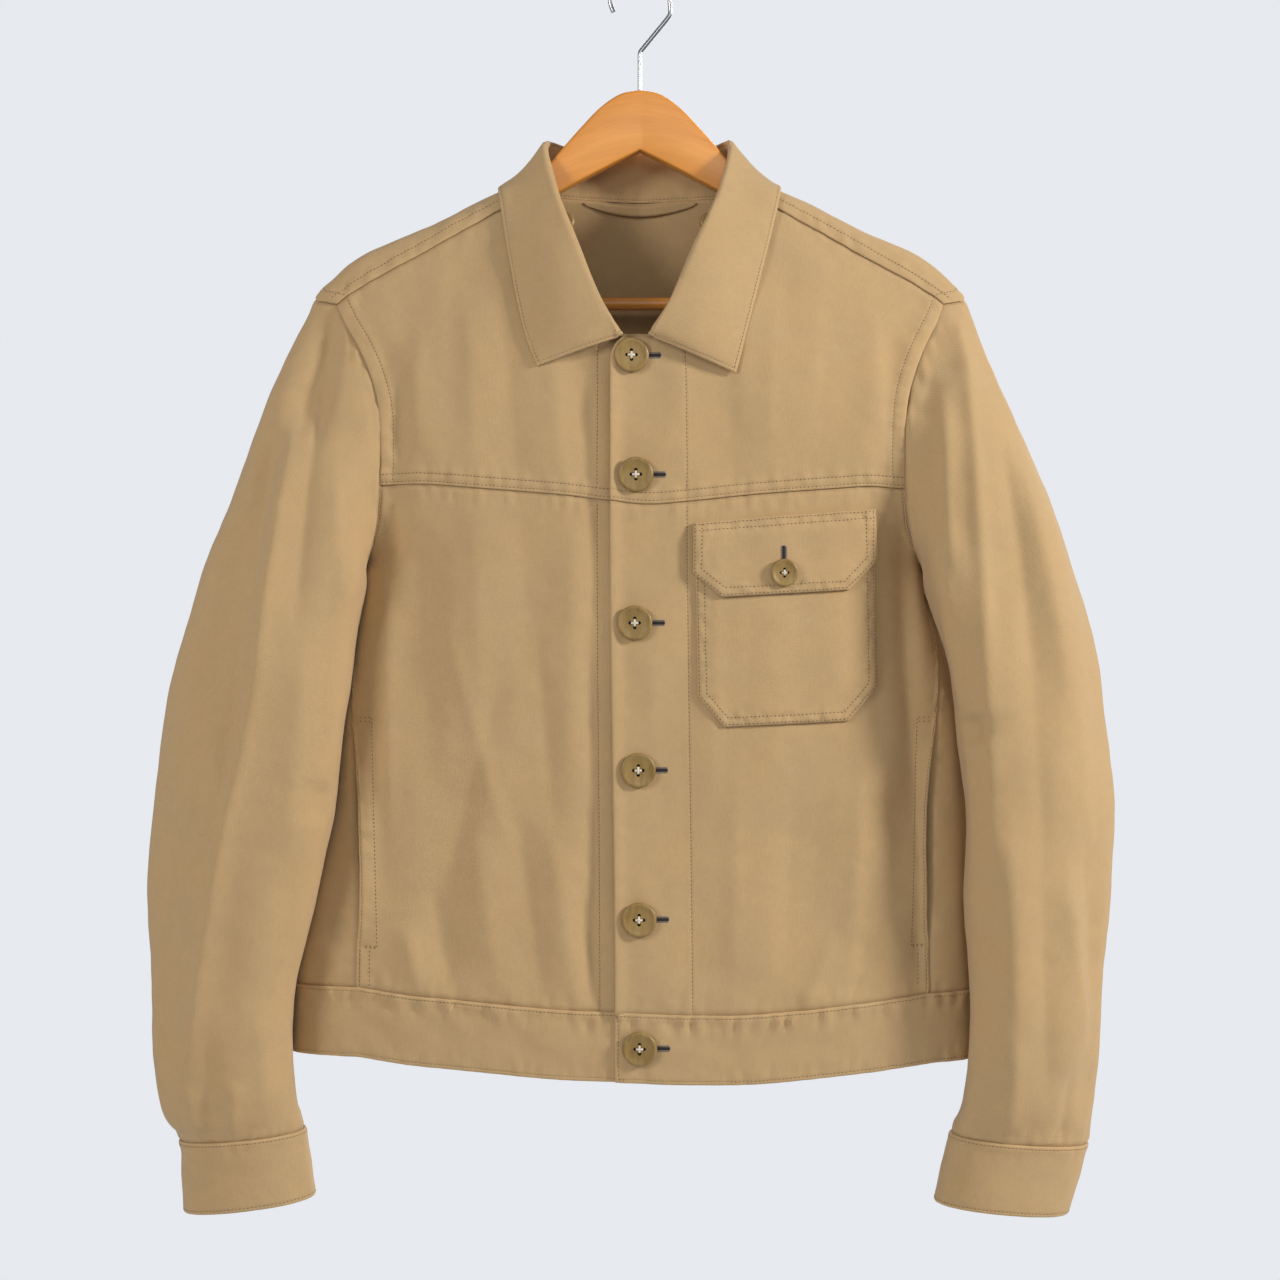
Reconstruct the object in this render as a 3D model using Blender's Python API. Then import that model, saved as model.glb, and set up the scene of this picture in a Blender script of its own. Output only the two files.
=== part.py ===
"""Khaki twill jacket, buttoned up and hanging on a wooden hanger.

+Z is up, the jacket's front faces -Y, and the origin is where the hook hangs. "Side" is -1 for the
half at -X and +1 for the half at +X, whose front laps over the other one. All sizes are in
millimetres, "down" is the distance below the hook, and make_object turns everything into metres.

The cloth is one smooth surface, worked out from the shoulder line, the body's widths and depths
and the outlines of the sleeves. Every cut piece is a stretch of that surface with its own thickness,
and neighbours stop short of each other at their seam.
"""
import math

import bmesh
import bpy
from mathutils import Matrix, Vector

MM = 0.001

# ---- cloth ----
BODY_CLOTH = 1.6          # thickness of a single layer
DOUBLE_CLOTH = 2.2        # waistband, cuffs, collar leaf and pocket flap
SEAM_GAP = 0.3            # between neighbouring pieces, and more where the cloth turns sharply
FLATTEST = 0.6
LAYER_GAP = 0.45          # between a piece and what lies on it

# ---- the body's shape ----
SIDE_POWER = 2.6          # how boxy the body is seen from above
RIDGE_RADIUS = 9.0        # the cloth's bend over the shoulders
FALL = 170.0              # the body reaches its full depth this far below the shoulder line
UNDERARM = 412.0
WAISTBAND_HEIGHT = 46.5
RIDGE = (                 # x, down: the shoulder line, carried on to the centre
    (0, 109), (40, 128), (82, 148.3), (98, 156), (145, 178.7), (181, 195.3), (201, 206.5),
    (215, 217.5), (226, 230), (240, 248))
HALF_WIDTH = (            # down, -X side, +X side
    (230, 335, 335), (300, 288, 288), (352, 250, 252), (385, 214, 218), (412, 193, 197),
    (424, 193.8, 198.2), (440, 195.6, 201.5), (462, 200, 208), (490, 205.5, 217), (530, 212, 226),
    (585, 219, 230.5), (642, 231.5, 232), (700, 242, 233.5), (768, 243, 236))
HALF_DEPTH = (            # down, front, back
    (230, 44, 36), (360, 48, 40), (480, 50, 43), (600, 50, 44), (720, 50, 45), (770, 48, 43))
FRONT_FOLDS = (           # start x, start down, end x, end down, half width, height
    (-178, 268, -158, 346, 11, -3.0), (-171, 290, -172, 350, 7, 1.5),
    (172, 262, 166, 350, 10, -2.5), (-120, 560, -132, 690, 22, -3.0), (110, 590, 118, 700, 20, -2.0))

# ---- seams ----
SHOULDER_SEAM = (         # x, distance below the shoulder line, on the front
    (84, 14), (97, 15), (134, 17.7), (170, 21), (210, 23))
SHOULDER_ROWS = 7         # front seam, then the bend from -90 to 90 degrees in six steps
SHOULDER_END = (          # row, x at the armhole, x at the neck
    (0, 210, 84), (1, 221.5, 83.5), (2, 224.3, 83), (3, 225.6, 82.5), (4, 226, 82),
    (5, 225.5, 81), (6, 223.5, 80), (7, 220, 78))
ARMHOLE_FRONT = (         # down, x, below the end of the shoulder seam
    (250, 204), (268, 194), (290, 185), (310, 180), (335, 178.5), (363, 179.5),
    (385, 182), (400, 186), (412, 195))
ARMHOLE_BACK = (          # down, x, below the back edge of the shoulder
    (245, 213.5), (268, 206), (295, 199), (330, 194), (365, 192), (392, 192),
    (412, 195))
YOKE_SEAM = (             # x, down
    (-180, 363), (-147, 362.5), (-108, 365.5), (-54, 370), (-20, 374), (5, 376.5), (28, 375),
    (81, 369.5), (133, 365.5), (155, 364), (182, 365))
WAIST_SEAM = (            # x, down
    (-237, 703), (-193, 706.5), (-158, 711), (-122, 714), (-54, 720), (-18, 721.5), (40, 723.5),
    (81, 723), (149, 717), (176, 714), (219, 709))
SIDE_SEAM = (             # down, -X side, +X side
    (412, 193, 197), (443, 195, 201), (472, 197.3, 206), (500, 197.5, 206), (530, 197, 204),
    (590, 195, 201.5), (650, 193, 200), (714, 193, 198))
BACK_YOKE_DOWN = 238.0
BACK_YOKE_DROP = 28.0     # how much lower the back yoke's seam is at the armholes
NECK_FRONT_DOWN = 263.0
NECK_BACK_DOWN = 159.0
NECK_FOOT = 115.0                      # the points below the neck's corner run down to this x
NECK_END = {-1: 12.0, 1: 6.0}          # where the collar starts, from the centre
FRONT_EDGE = {                          # x of the front edges at the neck corner, yoke and waist
    -1: (18.0, 18.0, 20.0), 1: (-12.0, -20.0, -16.5)}
CORNER_SHARE = 0.15                     # the rounded neck corner's share of the yoke's front edge
LAP_LIFT = 1.05
LAP_FROM, LAP_TO = 28.0, 62.0           # the lapped fronts part from the surface between these

# ---- sleeves: the seam at the shoulder's tip, eleven sections, and the cuff's lower edge ----
SLEEVE_POWER = 2.2
SLEEVE_FADE = 0.36        # the share of the sleeve along which the armhole's shape dies out
SLEEVE_TWIST = math.radians(35)
SLEEVE_SECTIONS = {       # outer x, down, y; inner x, down, y; front half depth, back half depth
    -1: (
        (226, 230, 0, 193, 412, -18, 40, 36), (253, 292, -4, 197, 424, -22, 46, 38),
        (274.5, 352, -6, 197, 440, -28, 49, 37), (296, 408, -8, 197, 462, -33, 50, 36),
        (312.5, 466, -9, 199, 492, -36, 49, 35), (326, 522, -10, 203, 530, -38, 47, 33),
        (334, 584, -12, 209, 585, -40, 44, 32), (336.5, 650, -14, 222, 642, -40, 41, 32),
        (335.5, 715, -15, 235, 702, -37, 38, 32), (332, 765, -16, 239, 750, -32, 36, 31),
        (326, 797, -16, 237, 785, -28, 32, 29), (317, 814, -16, 231.5, 805, -25, 27, 26),
        (315, 863, -14, 225, 851, -20, 27, 26)),
    1: (
        (226, 230, 0, 197, 412, -18, 40, 36), (245, 280, -4, 202, 423, -24, 46, 38),
        (266, 332, -6, 203.5, 439, -30, 48, 37), (289, 388, -8, 206, 460, -35, 48, 36),
        (306, 441, -9, 211.5, 489, -38, 47, 35), (318, 500, -10, 217, 528, -39, 45, 33),
        (326.5, 574, -12, 222, 586, -40, 43, 32), (325, 630, -14, 223, 640, -40, 41, 32),
        (320, 688, -15, 225, 692, -40, 39, 31), (317, 745, -16, 225.5, 742, -40, 37, 29),
        (312, 785, -16, 222, 783, -36, 33, 28), (308.5, 816, -16, 214, 807, -30, 27, 26),
        (296, 864, -14, 203.5, 854, -24, 27, 26))}
LAST_SLEEVE_SECTION = 11
SLEEVE_FOLDS = {          # start turn, start length, end turn, end length, half width, height
    -1: (
        (0.10, 0.02, 0.17, 0.45, 0.045, -5.0), (0.06, 0.25, 0.10, 0.98, 0.04, 3.5),
        (0.27, 0.30, 0.22, 0.75, 0.05, -3.5)),
    1: (
        (0.10, 0.02, 0.17, 0.55, 0.04, 4.0), (0.30, 0.06, 0.22, 0.30, 0.05, -4.5),
        (0.12, 0.45, 0.10, 0.95, 0.05, -3.5))}
CUFF_LAP = 2              # columns by which the cuff's end laps over its start

# ---- collar ----
FOLD_LINE = (             # share of the way to the centre back, -X side x, +X side x, y, down
    (0, 12, 6, -53, 261.5), (0.2, 26, 20, -51, 239), (0.42, 43, 38, -39, 197),
    (0.56, 57, 54, -23, 158), (0.66, 64, 61, -3, 124), (0.8, 48, 48, 16, 121),
    (1, 0, 0, 23, 121))
LEAF_EDGE = (             # share, -X side x and way round from the shoulder line, +X side the same
    (0, 69.5, -146, 64.5, -153), (0.2, 78.5, -116, 69.5, -131), (0.42, 88, -67, 82, -76),
    (0.56, 96, -17, 95, -17), (0.63, 97, 0, 96.5, 0), (0.7, 94.5, 16, 94.5, 16),
    (0.78, 81, 26, 81, 26), (0.88, 57, 35, 57, 35), (1, 0, 62, 0, 62))
LEAF_LIFT = 3.0           # the leaf's edge above the body's surface
LEAF_BULGE = (            # share, how far the leaf rounds out between its fold and its edge
    (0, 3.0), (0.38, 3.0), (0.56, -1.2), (0.7, -1.0), (0.82, 1.0), (1, 1.0))
FOLD_RADIUS = 2.0

# ---- pockets, loop, buttons ----
POCKET_OUTLINE = (        # share of the height, left x, right x
    (0.0, 37.0, 160.0), (0.83, 39.0, 161.5), (1.0, 56.6, 141.0))
POCKET_TOP = (402.0, 392.0)             # left and right, under the flap
POCKET_BOTTOM = (528.6, 523.0)
FLAP_OUTLINE = ((0.0, 36.0, 159.5), (0.66, 35.5, 160.0), (1.0, 55.0, 141.0))
FLAP_TOP = (390.0, 380.0)
FLAP_BOTTOM = (441.0, 434.0)
FACING_DOWN = (527.0, 675.0)            # the side pocket's mouth
FACING_HALF_TURN = 0.16
FACING_SLACK = 0.9
LOOP_HALF_LENGTH = 40.0
LOOP_HEIGHT = 6.5
LOOP_SAG = 3.0
LOOP_THICKNESS = 1.0
BUTTON_DOWNS = (276.0, 357.0, 457.5, 557.0, 658.0, 745.0)
BUTTON_XS = (-6.0, -2.7, -3.4, -1.4, -0.7, 0.0)
BUTTON_RADIUS = 12.0
POCKET_BUTTON = (97.0, 423.5)
SMALL_RADIUS = 9.5
NECK_BUTTON_RADIUS = 7.5
NECK_BUTTON_SHARE = 0.48
NECK_BUTTON_V = 0.325     # its place up the collar stand, whose fold starts at 0.35
BUTTON_THICKNESS = 3.4
BUTTON_SIDES = 16

# ---- hanger ----
WOOD_THICKNESS = 12.0
WOOD_ROUNDING = 4.5
WOOD_TOP = (              # x, down
    (0, 85), (14, 88), (28, 97.5), (42, 112), (50, 121), (62, 134.5), (82, 151.3), (98, 158.8),
    (145, 181.3), (181, 198), (201, 210), (208, 216.5))
WOOD_BOTTOM = (
    (0, 127), (20, 137), (58, 157), (100, 179), (150, 208), (180, 228), (200, 244), (208, 248))
WOOD_COLUMNS = 16
BAR_DOWN = 233.8
BAR_RADIUS = 4.4
BAR_HALF_LENGTH = 193.0
WIRE_RADIUS = 1.6
WIRE_SIDES = 12
HOOK_RADIUS = 21.0
HOOK_BEND_DOWN = 56.0
HOLE_CLEARANCE = 0.35
WIRE_FOOT_DOWN = 106.0


# ------------------------------------------------------------------ small helpers
def follow(table, at, column=1):
    """The smooth value of one column at a place along the table's first column."""
    last = len(table) - 1
    if at <= table[0][0]:
        return table[0][column]
    if at >= table[last][0]:
        return table[last][column]
    row = 0
    while table[row + 1][0] < at:
        row += 1

    def slope(index):
        low, high = max(index - 1, 0), min(index + 1, last)
        return (table[high][column] - table[low][column]) / (table[high][0] - table[low][0])

    span = table[row + 1][0] - table[row][0]
    t = (at - table[row][0]) / span
    return ((2 * t**3 - 3 * t**2 + 1) * table[row][column]
            + (t**3 - 2 * t**2 + t) * span * slope(row)
            + (3 * t**2 - 2 * t**3) * table[row + 1][column]
            + (t**3 - t**2) * span * slope(row + 1))


def between(low, high, share):
    return low + (high - low) * share


def ease(share):
    share = min(max(share, 0.0), 1.0)
    return share * share * (3 - 2 * share)


def fold_height(folds, a, b, stretch=1.0):
    """The height of soft folds, each a bump along a straight line that dies out at its ends."""
    total = 0.0
    for start_a, start_b, end_a, end_b, half_width, height in folds:
        run = Vector(((end_a - start_a) * stretch, end_b - start_b))
        offset = Vector(((a - start_a) * stretch, b - start_b))
        share = offset.dot(run) / run.length_squared
        aside = (offset - run * share).length / (half_width * stretch)
        taper = ease(share / 0.3 + 0.5) * ease((1 - share) / 0.3 + 0.5)
        total += height * math.exp(-aside * aside) * taper
    return total


# ------------------------------------------------------------------ the body's surface
def ridge_down(x):
    return follow(RIDGE, abs(x))


def side_share(x, down):
    """1 at the centre and 0 where the surface turns round the body's side."""
    half_width = follow(HALF_WIDTH, down, 1 if x < 0 else 2)
    ratio = min(abs(x) / half_width, 1.0)
    return (1 - ratio**SIDE_POWER) ** (1 / SIDE_POWER)


def wall_depth(x, down, column):
    """How far the front or back surface stands from the middle plane."""
    below = max(down - ridge_down(x), 0.0)
    bend = RIDGE_RADIUS - min(below, RIDGE_RADIUS)
    round_part = math.sqrt(RIDGE_RADIUS**2 - bend**2)
    full = follow(HALF_DEPTH, down, column) - RIDGE_RADIUS
    return (round_part + full * math.sin(min(below / FALL, 1.0) * math.pi / 2)) * side_share(x, down)


def front_point(x, down, side=0):
    """A point on the front surface; the two fronts part where one laps over the other."""
    outside = ease((side * x - LAP_FROM) / (LAP_TO - LAP_FROM))
    lift = LAP_LIFT * (1 - outside) * side
    fold = fold_height(FRONT_FOLDS, x, down)
    return Vector((x, -wall_depth(x, down, 1) - lift - fold, -down))


def back_point(x, down):
    return Vector((x, wall_depth(x, down, 2), -down))


def around_point(turn, down):
    """A point on the lower body, by its turn: 0 is the -X side, pi / 2 the back, pi the +X side."""
    side = -1 if math.cos(turn) > 0 else 1
    half_width = follow(HALF_WIDTH, down, 1 if side < 0 else 2)
    x = side * half_width * abs(math.cos(turn)) ** (2 / SIDE_POWER)
    return back_point(x, down) if math.sin(turn) >= 0 else front_point(x, down)


def turn_at(x, down, on_back=True):
    half_width = follow(HALF_WIDTH, down, 1 if x < 0 else 2)
    turn = math.acos(min(abs(x) / half_width, 1.0) ** (SIDE_POWER / 2))
    if not on_back:
        turn = -turn
    return turn if x < 0 else math.pi - turn


def normal_at(surface, a, b, step=0.5):
    """The unit normal of a surface of two values, turned by its own order of values."""
    along_a = surface(a + step, b) - surface(a - step, b)
    along_b = surface(a, b + step) - surface(a, b - step)
    return along_a.cross(along_b).normalized()


def above_front(x, down, side, height):
    """A point that stands off the front surface, outside for a positive height."""
    normal = normal_at(lambda a, b: front_point(a, b, side), x, down)
    if normal.y > 0:
        normal.negate()
    return front_point(x, down, side) + normal * height


def shoulder_surface(x, way):
    """The surface by x and the way round from the shoulder line, negative on the front."""
    bend = RIDGE_RADIUS * math.pi / 2
    if abs(way) < bend:
        fall = RIDGE_RADIUS * (1 - math.cos(way / RIDGE_RADIUS))
    else:
        fall = RIDGE_RADIUS + abs(way) - bend
    down = ridge_down(x) + fall
    return front_point(x, down) if way < 0 else back_point(x, down)


# ------------------------------------------------------------------ outlines of the pieces
FRONT_TIP_X = SHOULDER_END[0][1]
FRONT_TIP_DOWN = ridge_down(FRONT_TIP_X) + follow(SHOULDER_SEAM, FRONT_TIP_X)
BACK_TIP_X = SHOULDER_END[-1][1]
BACK_TIP_DOWN = ridge_down(BACK_TIP_X) + RIDGE_RADIUS
FULL_ARMHOLE_FRONT = ((FRONT_TIP_DOWN, FRONT_TIP_X),) + ARMHOLE_FRONT
FULL_ARMHOLE_BACK = ((BACK_TIP_DOWN, BACK_TIP_X),) + ARMHOLE_BACK


def coons(top, bottom, left, right, u, v):
    """A patch between four outlines that are given as pairs of values."""
    return (top(u) * (1 - v) + bottom(u) * v + left(v) * (1 - u) + right(v) * u
            - top(0) * (1 - u) * (1 - v) - top(1) * u * (1 - v)
            - bottom(0) * (1 - u) * v - bottom(1) * u * v)


def shoulder(side, u, v):
    """From the armhole (u 0) to the neck, and from the front seam (v 0) over to the back."""
    row = v * SHOULDER_ROWS
    x = between(follow(SHOULDER_END, row, 1), follow(SHOULDER_END, row, 2), u)
    if row < 1:
        point = front_point(x, ridge_down(x) + between(follow(SHOULDER_SEAM, x), RIDGE_RADIUS, row))
    else:
        angle = (row - 1) * math.pi / (SHOULDER_ROWS - 1) - math.pi / 2
        point = shoulder_surface(x, RIDGE_RADIUS * angle)
    point.x *= side
    return point


def armhole_front_x(side, down):
    share = (down - FRONT_TIP_DOWN) / (UNDERARM - FRONT_TIP_DOWN)
    return side * (follow(FULL_ARMHOLE_FRONT, down) + 2.0 * side * math.sin(math.pi * share))


def yoke_corner(side):
    """Where the front yoke's seam meets the armhole: x and down."""
    down = YOKE_SEAM[0][1] if side < 0 else YOKE_SEAM[-1][1]
    return Vector((armhole_front_x(side, down), down))


NECK_U = 0.5
NECK_END_U = 11 / 12
UNDERARM_V = 2 / 12


def neck_front(side, share):
    """The front neck seam, a quarter ellipse from the shoulder seam to the collar's end."""
    angle = share * math.pi / 2
    start_x, start_down = SHOULDER_END[0][2], ridge_down(SHOULDER_END[0][2]) + SHOULDER_SEAM[0][1]
    end_x = NECK_END[side]
    return Vector((side * between(end_x, start_x, math.cos(angle)),
                   between(start_down, NECK_FRONT_DOWN, math.sin(angle))))


def yoke_top(side, u):
    if u <= NECK_U:
        x = between(SHOULDER_END[0][1], SHOULDER_END[0][2], u / NECK_U)
        return Vector((side * x, ridge_down(x) + follow(SHOULDER_SEAM, x)))
    if u <= NECK_END_U:
        return neck_front(side, (u - NECK_U) / (NECK_END_U - NECK_U))
    end = neck_front(side, 1.0)
    share = (u - NECK_END_U) / (1 - NECK_END_U)
    return Vector((between(end.x, FRONT_EDGE[side][0], share), end.y + 0.5 * share))


def column_x(side, outer_x, inner_x, u):
    foot = side * NECK_FOOT
    if u <= NECK_U:
        return between(outer_x, foot, u / NECK_U)
    return between(foot, inner_x, (u - NECK_U) / (1 - NECK_U))


def yoke_bottom(side, u):
    corner = yoke_corner(side)
    x = column_x(side, corner.x, FRONT_EDGE[side][1], u)
    return Vector((x, between(corner.y, follow(YOKE_SEAM, x), min(u * 8, 1.0))))


def yoke_outer(side, v):
    down = between(FRONT_TIP_DOWN, yoke_corner(side).y, v)
    return Vector((armhole_front_x(side, down), down))


def yoke_inner(side, v):
    corner_x, seam_x, _ = FRONT_EDGE[side]
    rounding = max(1 - v / CORNER_SHARE, 0.0) ** 2
    return Vector((between(seam_x, corner_x, rounding),
                   between(yoke_top(side, 1.0).y, yoke_bottom(side, 1.0).y, v)))


def yoke_front(side, u, v):
    """From the armhole (u 0) to the front edge, and from the shoulder (v 0) to the chest seam."""
    flat = coons(lambda a: yoke_top(side, a), lambda a: yoke_bottom(side, a),
                 lambda a: yoke_outer(side, a), lambda a: yoke_inner(side, a), u, v)
    return front_point(flat.x, flat.y, side)


def side_seam(side, share):
    """The side seam from the underarm to the waistband: x and down."""
    waist_x = side * SIDE_SEAM[-1][1 if side < 0 else 2]
    down = between(UNDERARM, follow(WAIST_SEAM, waist_x), share)
    return Vector((side * follow(SIDE_SEAM, down, 1 if side < 0 else 2), down))


def front_bottom(side, u):
    corner = side_seam(side, 1.0)
    x = column_x(side, corner.x, FRONT_EDGE[side][2], u)
    return Vector((x, follow(WAIST_SEAM, x)))


def front_outer(side, v):
    if v <= UNDERARM_V:
        down = between(yoke_corner(side).y, UNDERARM, v / UNDERARM_V)
        x = armhole_front_x(side, down)
        end_x = side_seam(side, 0.0).x
        return Vector((between(x, x + end_x - armhole_front_x(side, UNDERARM), v / UNDERARM_V), down))
    return side_seam(side, (v - UNDERARM_V) / (1 - UNDERARM_V))


def front_inner(side, v):
    top, bottom = yoke_bottom(side, 1.0), front_bottom(side, 1.0)
    return Vector((between(top.x, bottom.x, ease(v)), between(top.y, bottom.y, v)))


def front(side, u, v):
    """From the side (u 0) to the front edge, and from the chest seam (v 0) to the waistband."""
    flat = coons(lambda a: yoke_bottom(side, a), lambda a: front_bottom(side, a),
                 lambda a: front_outer(side, a), lambda a: front_inner(side, a), u, v)
    return front_point(flat.x, flat.y, side)


# The back's columns: shoulder, neck, shoulder.
BACK_NECK = (0.3, 0.7)
BACK_UNDERARM_V = 5 / 15


def back_neck(share):
    """The back neck seam from the -X shoulder to the +X one."""
    half = SHOULDER_END[-1][2]
    x = between(-half, half, share)
    rise = NECK_BACK_DOWN - ridge_down(half) - RIDGE_RADIUS
    return Vector((x, NECK_BACK_DOWN - rise * (x / half) ** 2))


def back_yoke_top(c):
    if BACK_NECK[0] <= c <= BACK_NECK[1]:
        return back_neck((c - BACK_NECK[0]) / (BACK_NECK[1] - BACK_NECK[0]))
    share = c / BACK_NECK[0] if c < 0.5 else (1 - c) / BACK_NECK[0]
    x = between(SHOULDER_END[-1][1], SHOULDER_END[-1][2], share)
    return Vector((math.copysign(x, c - 0.5), ridge_down(x) + RIDGE_RADIUS))


def back_yoke_end(side):
    down = BACK_YOKE_DOWN + BACK_YOKE_DROP
    return Vector((side * follow(FULL_ARMHOLE_BACK, down), down))


def back_yoke_bottom(c):
    end_x = back_yoke_end(1).x
    x = between(-end_x, end_x, c)
    return Vector((x, BACK_YOKE_DOWN + BACK_YOKE_DROP * (x / end_x) ** 2))


def back_yoke_side(side, v):
    down = between(BACK_TIP_DOWN, back_yoke_end(side).y, v)
    return Vector((side * follow(FULL_ARMHOLE_BACK, down), down))


def back_yoke(c, v):
    """The back of the yoke, from the -X armhole (c 0) to the other, and down to its seam."""
    flat = coons(back_yoke_top, back_yoke_bottom, lambda a: back_yoke_side(-1, a),
                 lambda a: back_yoke_side(1, a), c, v)
    return back_point(flat.x, flat.y)


def back_side(side, v):
    """The back panel's edge, as turn and down: the armhole, then the side seam."""
    if v <= BACK_UNDERARM_V:
        share = v / BACK_UNDERARM_V
        down = between(back_yoke_end(side).y, UNDERARM, share)
        x = side * follow(FULL_ARMHOLE_BACK, down)
        x += (side_seam(side, 0.0).x - side * ARMHOLE_BACK[-1][1]) * share
        return Vector((turn_at(x, down), down))
    point = side_seam(side, (v - BACK_UNDERARM_V) / (1 - BACK_UNDERARM_V))
    return Vector((turn_at(point.x, point.y, on_back=False), point.y))


def back_top(c):
    flat = back_yoke_bottom(c)
    return Vector((turn_at(flat.x, flat.y), flat.y))


def back_bottom(c):
    left, right = back_side(-1, 1.0), back_side(1, 1.0)
    return Vector((between(left.x, right.x, c), between(left.y, right.y, c)))


def back(c, v):
    """The back panel, from one side seam round the back to the other, down to the waistband."""
    flat = coons(back_top, back_bottom, lambda a: back_side(-1, a), lambda a: back_side(1, a), c, v)
    return around_point(flat.x, flat.y)


def waistband_front(side, u, v):
    seam = front_bottom(side, u)
    down = seam.y + WAISTBAND_HEIGHT * v
    column = 1 if side < 0 else 2
    spread = follow(HALF_WIDTH, down, column) / follow(HALF_WIDTH, seam.y, column)
    x = seam.x * between(spread, 1.0, u)
    return front_point(x, down, side)


def waistband_back(c, v):
    seam = back_bottom(c)
    return around_point(seam.x, seam.y + WAISTBAND_HEIGHT * v)


# ------------------------------------------------------------------ sleeves and cuffs
def armhole_ring(side, steps):
    """The armhole's points from the shoulder's tip over the front and back again, with turns."""
    tip = 4 / SHOULDER_ROWS
    shoulder_front = steps["tip"]
    points = [shoulder(side, 0, between(tip, 0, i / shoulder_front)) for i in range(shoulder_front)]
    points += [yoke_front(side, 0, i / steps["yoke"]) for i in range(steps["yoke"])]
    points += [front(side, 0, UNDERARM_V * i / steps["scye"]) for i in range(steps["scye"])]
    underarm = len(points)
    c = 0 if side < 0 else 1
    points += [back(c, BACK_UNDERARM_V * (1 - i / steps["back"])) for i in range(steps["back"])]
    yoke_seam = len(points)
    points += [back_yoke(c, 1 - i / steps["back_yoke"]) for i in range(steps["back_yoke"])]
    shoulder_back = steps["tip_back"]
    points += [shoulder(side, 0, between(1, tip, i / shoulder_back)) for i in range(shoulder_back + 1)]
    lengths = [0.0]
    for last, point in zip(points, points[1:]):
        lengths.append(lengths[-1] + (point - last).length)
    half, whole = lengths[underarm], lengths[-1]
    turns = [0.5 * a / half if a <= half else 0.5 + 0.5 * (a - half) / (whole - half) for a in lengths]
    return points, turns, underarm, yoke_seam


def sleeve_section(side, turn, row):
    """A point of the sleeve's plain section: turn 0 is outside, 0.25 the front, 0.5 inside."""
    table = [(index,) + section for index, section in enumerate(SLEEVE_SECTIONS[side])]
    value = [follow(table, row, column) for column in range(1, 9)]
    outer = Vector((side * value[0], value[2], -value[1]))
    inner = Vector((side * value[3], value[5], -value[4]))
    twist = SLEEVE_TWIST * ease(row / 4) * (1 - 0.6 * ease((row - 6) / 5))
    angle = 2 * math.pi * turn + twist * (0.5 - 0.5 * math.cos(2 * math.pi * turn))
    along = math.copysign(abs(math.cos(angle)) ** (2 / SLEEVE_POWER), math.cos(angle))
    across = math.copysign(abs(math.sin(angle)) ** (2 / SLEEVE_POWER), math.sin(angle))
    depth = value[6] if across > 0 else value[7]
    return (outer + inner) / 2 + (outer - inner) / 2 * along - Vector((0, depth * across, 0))


def sleeve_point(side, start, turn, even_turn, row):
    """A point of the sleeve, which starts on the armhole and loses its shape further down."""
    share = row / LAST_SLEEVE_SECTION
    fade = max(1 - share / SLEEVE_FADE, 0.0) ** 2
    spread = between(turn, even_turn, ease(share * 2.5))
    middle = (sleeve_section(side, 0, row) + sleeve_section(side, 0.5, row)) / 2
    point = sleeve_section(side, spread, row)
    outward = (point - middle).normalized()
    fold = fold_height(SLEEVE_FOLDS[side], spread, share, 1.5) * ease(share * 8) * ease((1 - share) * 8)
    return point + (start - sleeve_section(side, turn, 0)) * fade + outward * fold


def sleeve_ring(side, steps, row):
    starts, turns, _, _ = armhole_ring(side, steps)
    last = len(starts) - 1
    return [sleeve_point(side, start, turn, index / last, row)
            for index, (start, turn) in enumerate(zip(starts, turns))]


# ------------------------------------------------------------------ collar
def collar_columns(steps):
    """The neck seam's points from the -X front end round to the +X one, with side and share."""
    half = {}
    for side in (-1, 1):
        points = [front_point(*neck_front(side, 1 - i / steps["neck"]), side)
                  for i in range(steps["neck"])]
        points += [shoulder(side, 1, i / SHOULDER_ROWS) for i in range(SHOULDER_ROWS)]
        points += [back_point(*back_neck(0.5 + 0.5 * side * (1 - i / steps["half_back"])))
                   for i in range(steps["half_back"] + 1)]
        lengths = [0.0]
        for last, point in zip(points, points[1:]):
            lengths.append(lengths[-1] + (point - last).length)
        half[side] = [(side, length / lengths[-1], point) for length, point in zip(lengths, points)]
    return half[-1] + half[1][-2::-1]


def leaf_edge(side, share):
    first = 1 if side < 0 else 3
    x, way = follow(LEAF_EDGE, share, first), follow(LEAF_EDGE, share, first + 1)
    outward = normal_at(shoulder_surface, x, way)
    middle = Vector((x, 0, -ridge_down(x) - RIDGE_RADIUS))
    surface = shoulder_surface(x, way)
    if outward.dot(surface - middle) < 0:
        outward.negate()
    point = surface + outward * LEAF_LIFT
    return Vector((side * point.x, point.y, point.z)), Vector((side * outward.x, outward.y, outward.z))


def fold_line(side, share):
    return Vector((side * follow(FOLD_LINE, share, 1 if side < 0 else 2),
                   follow(FOLD_LINE, share, 3), -follow(FOLD_LINE, share, 4)))


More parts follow.
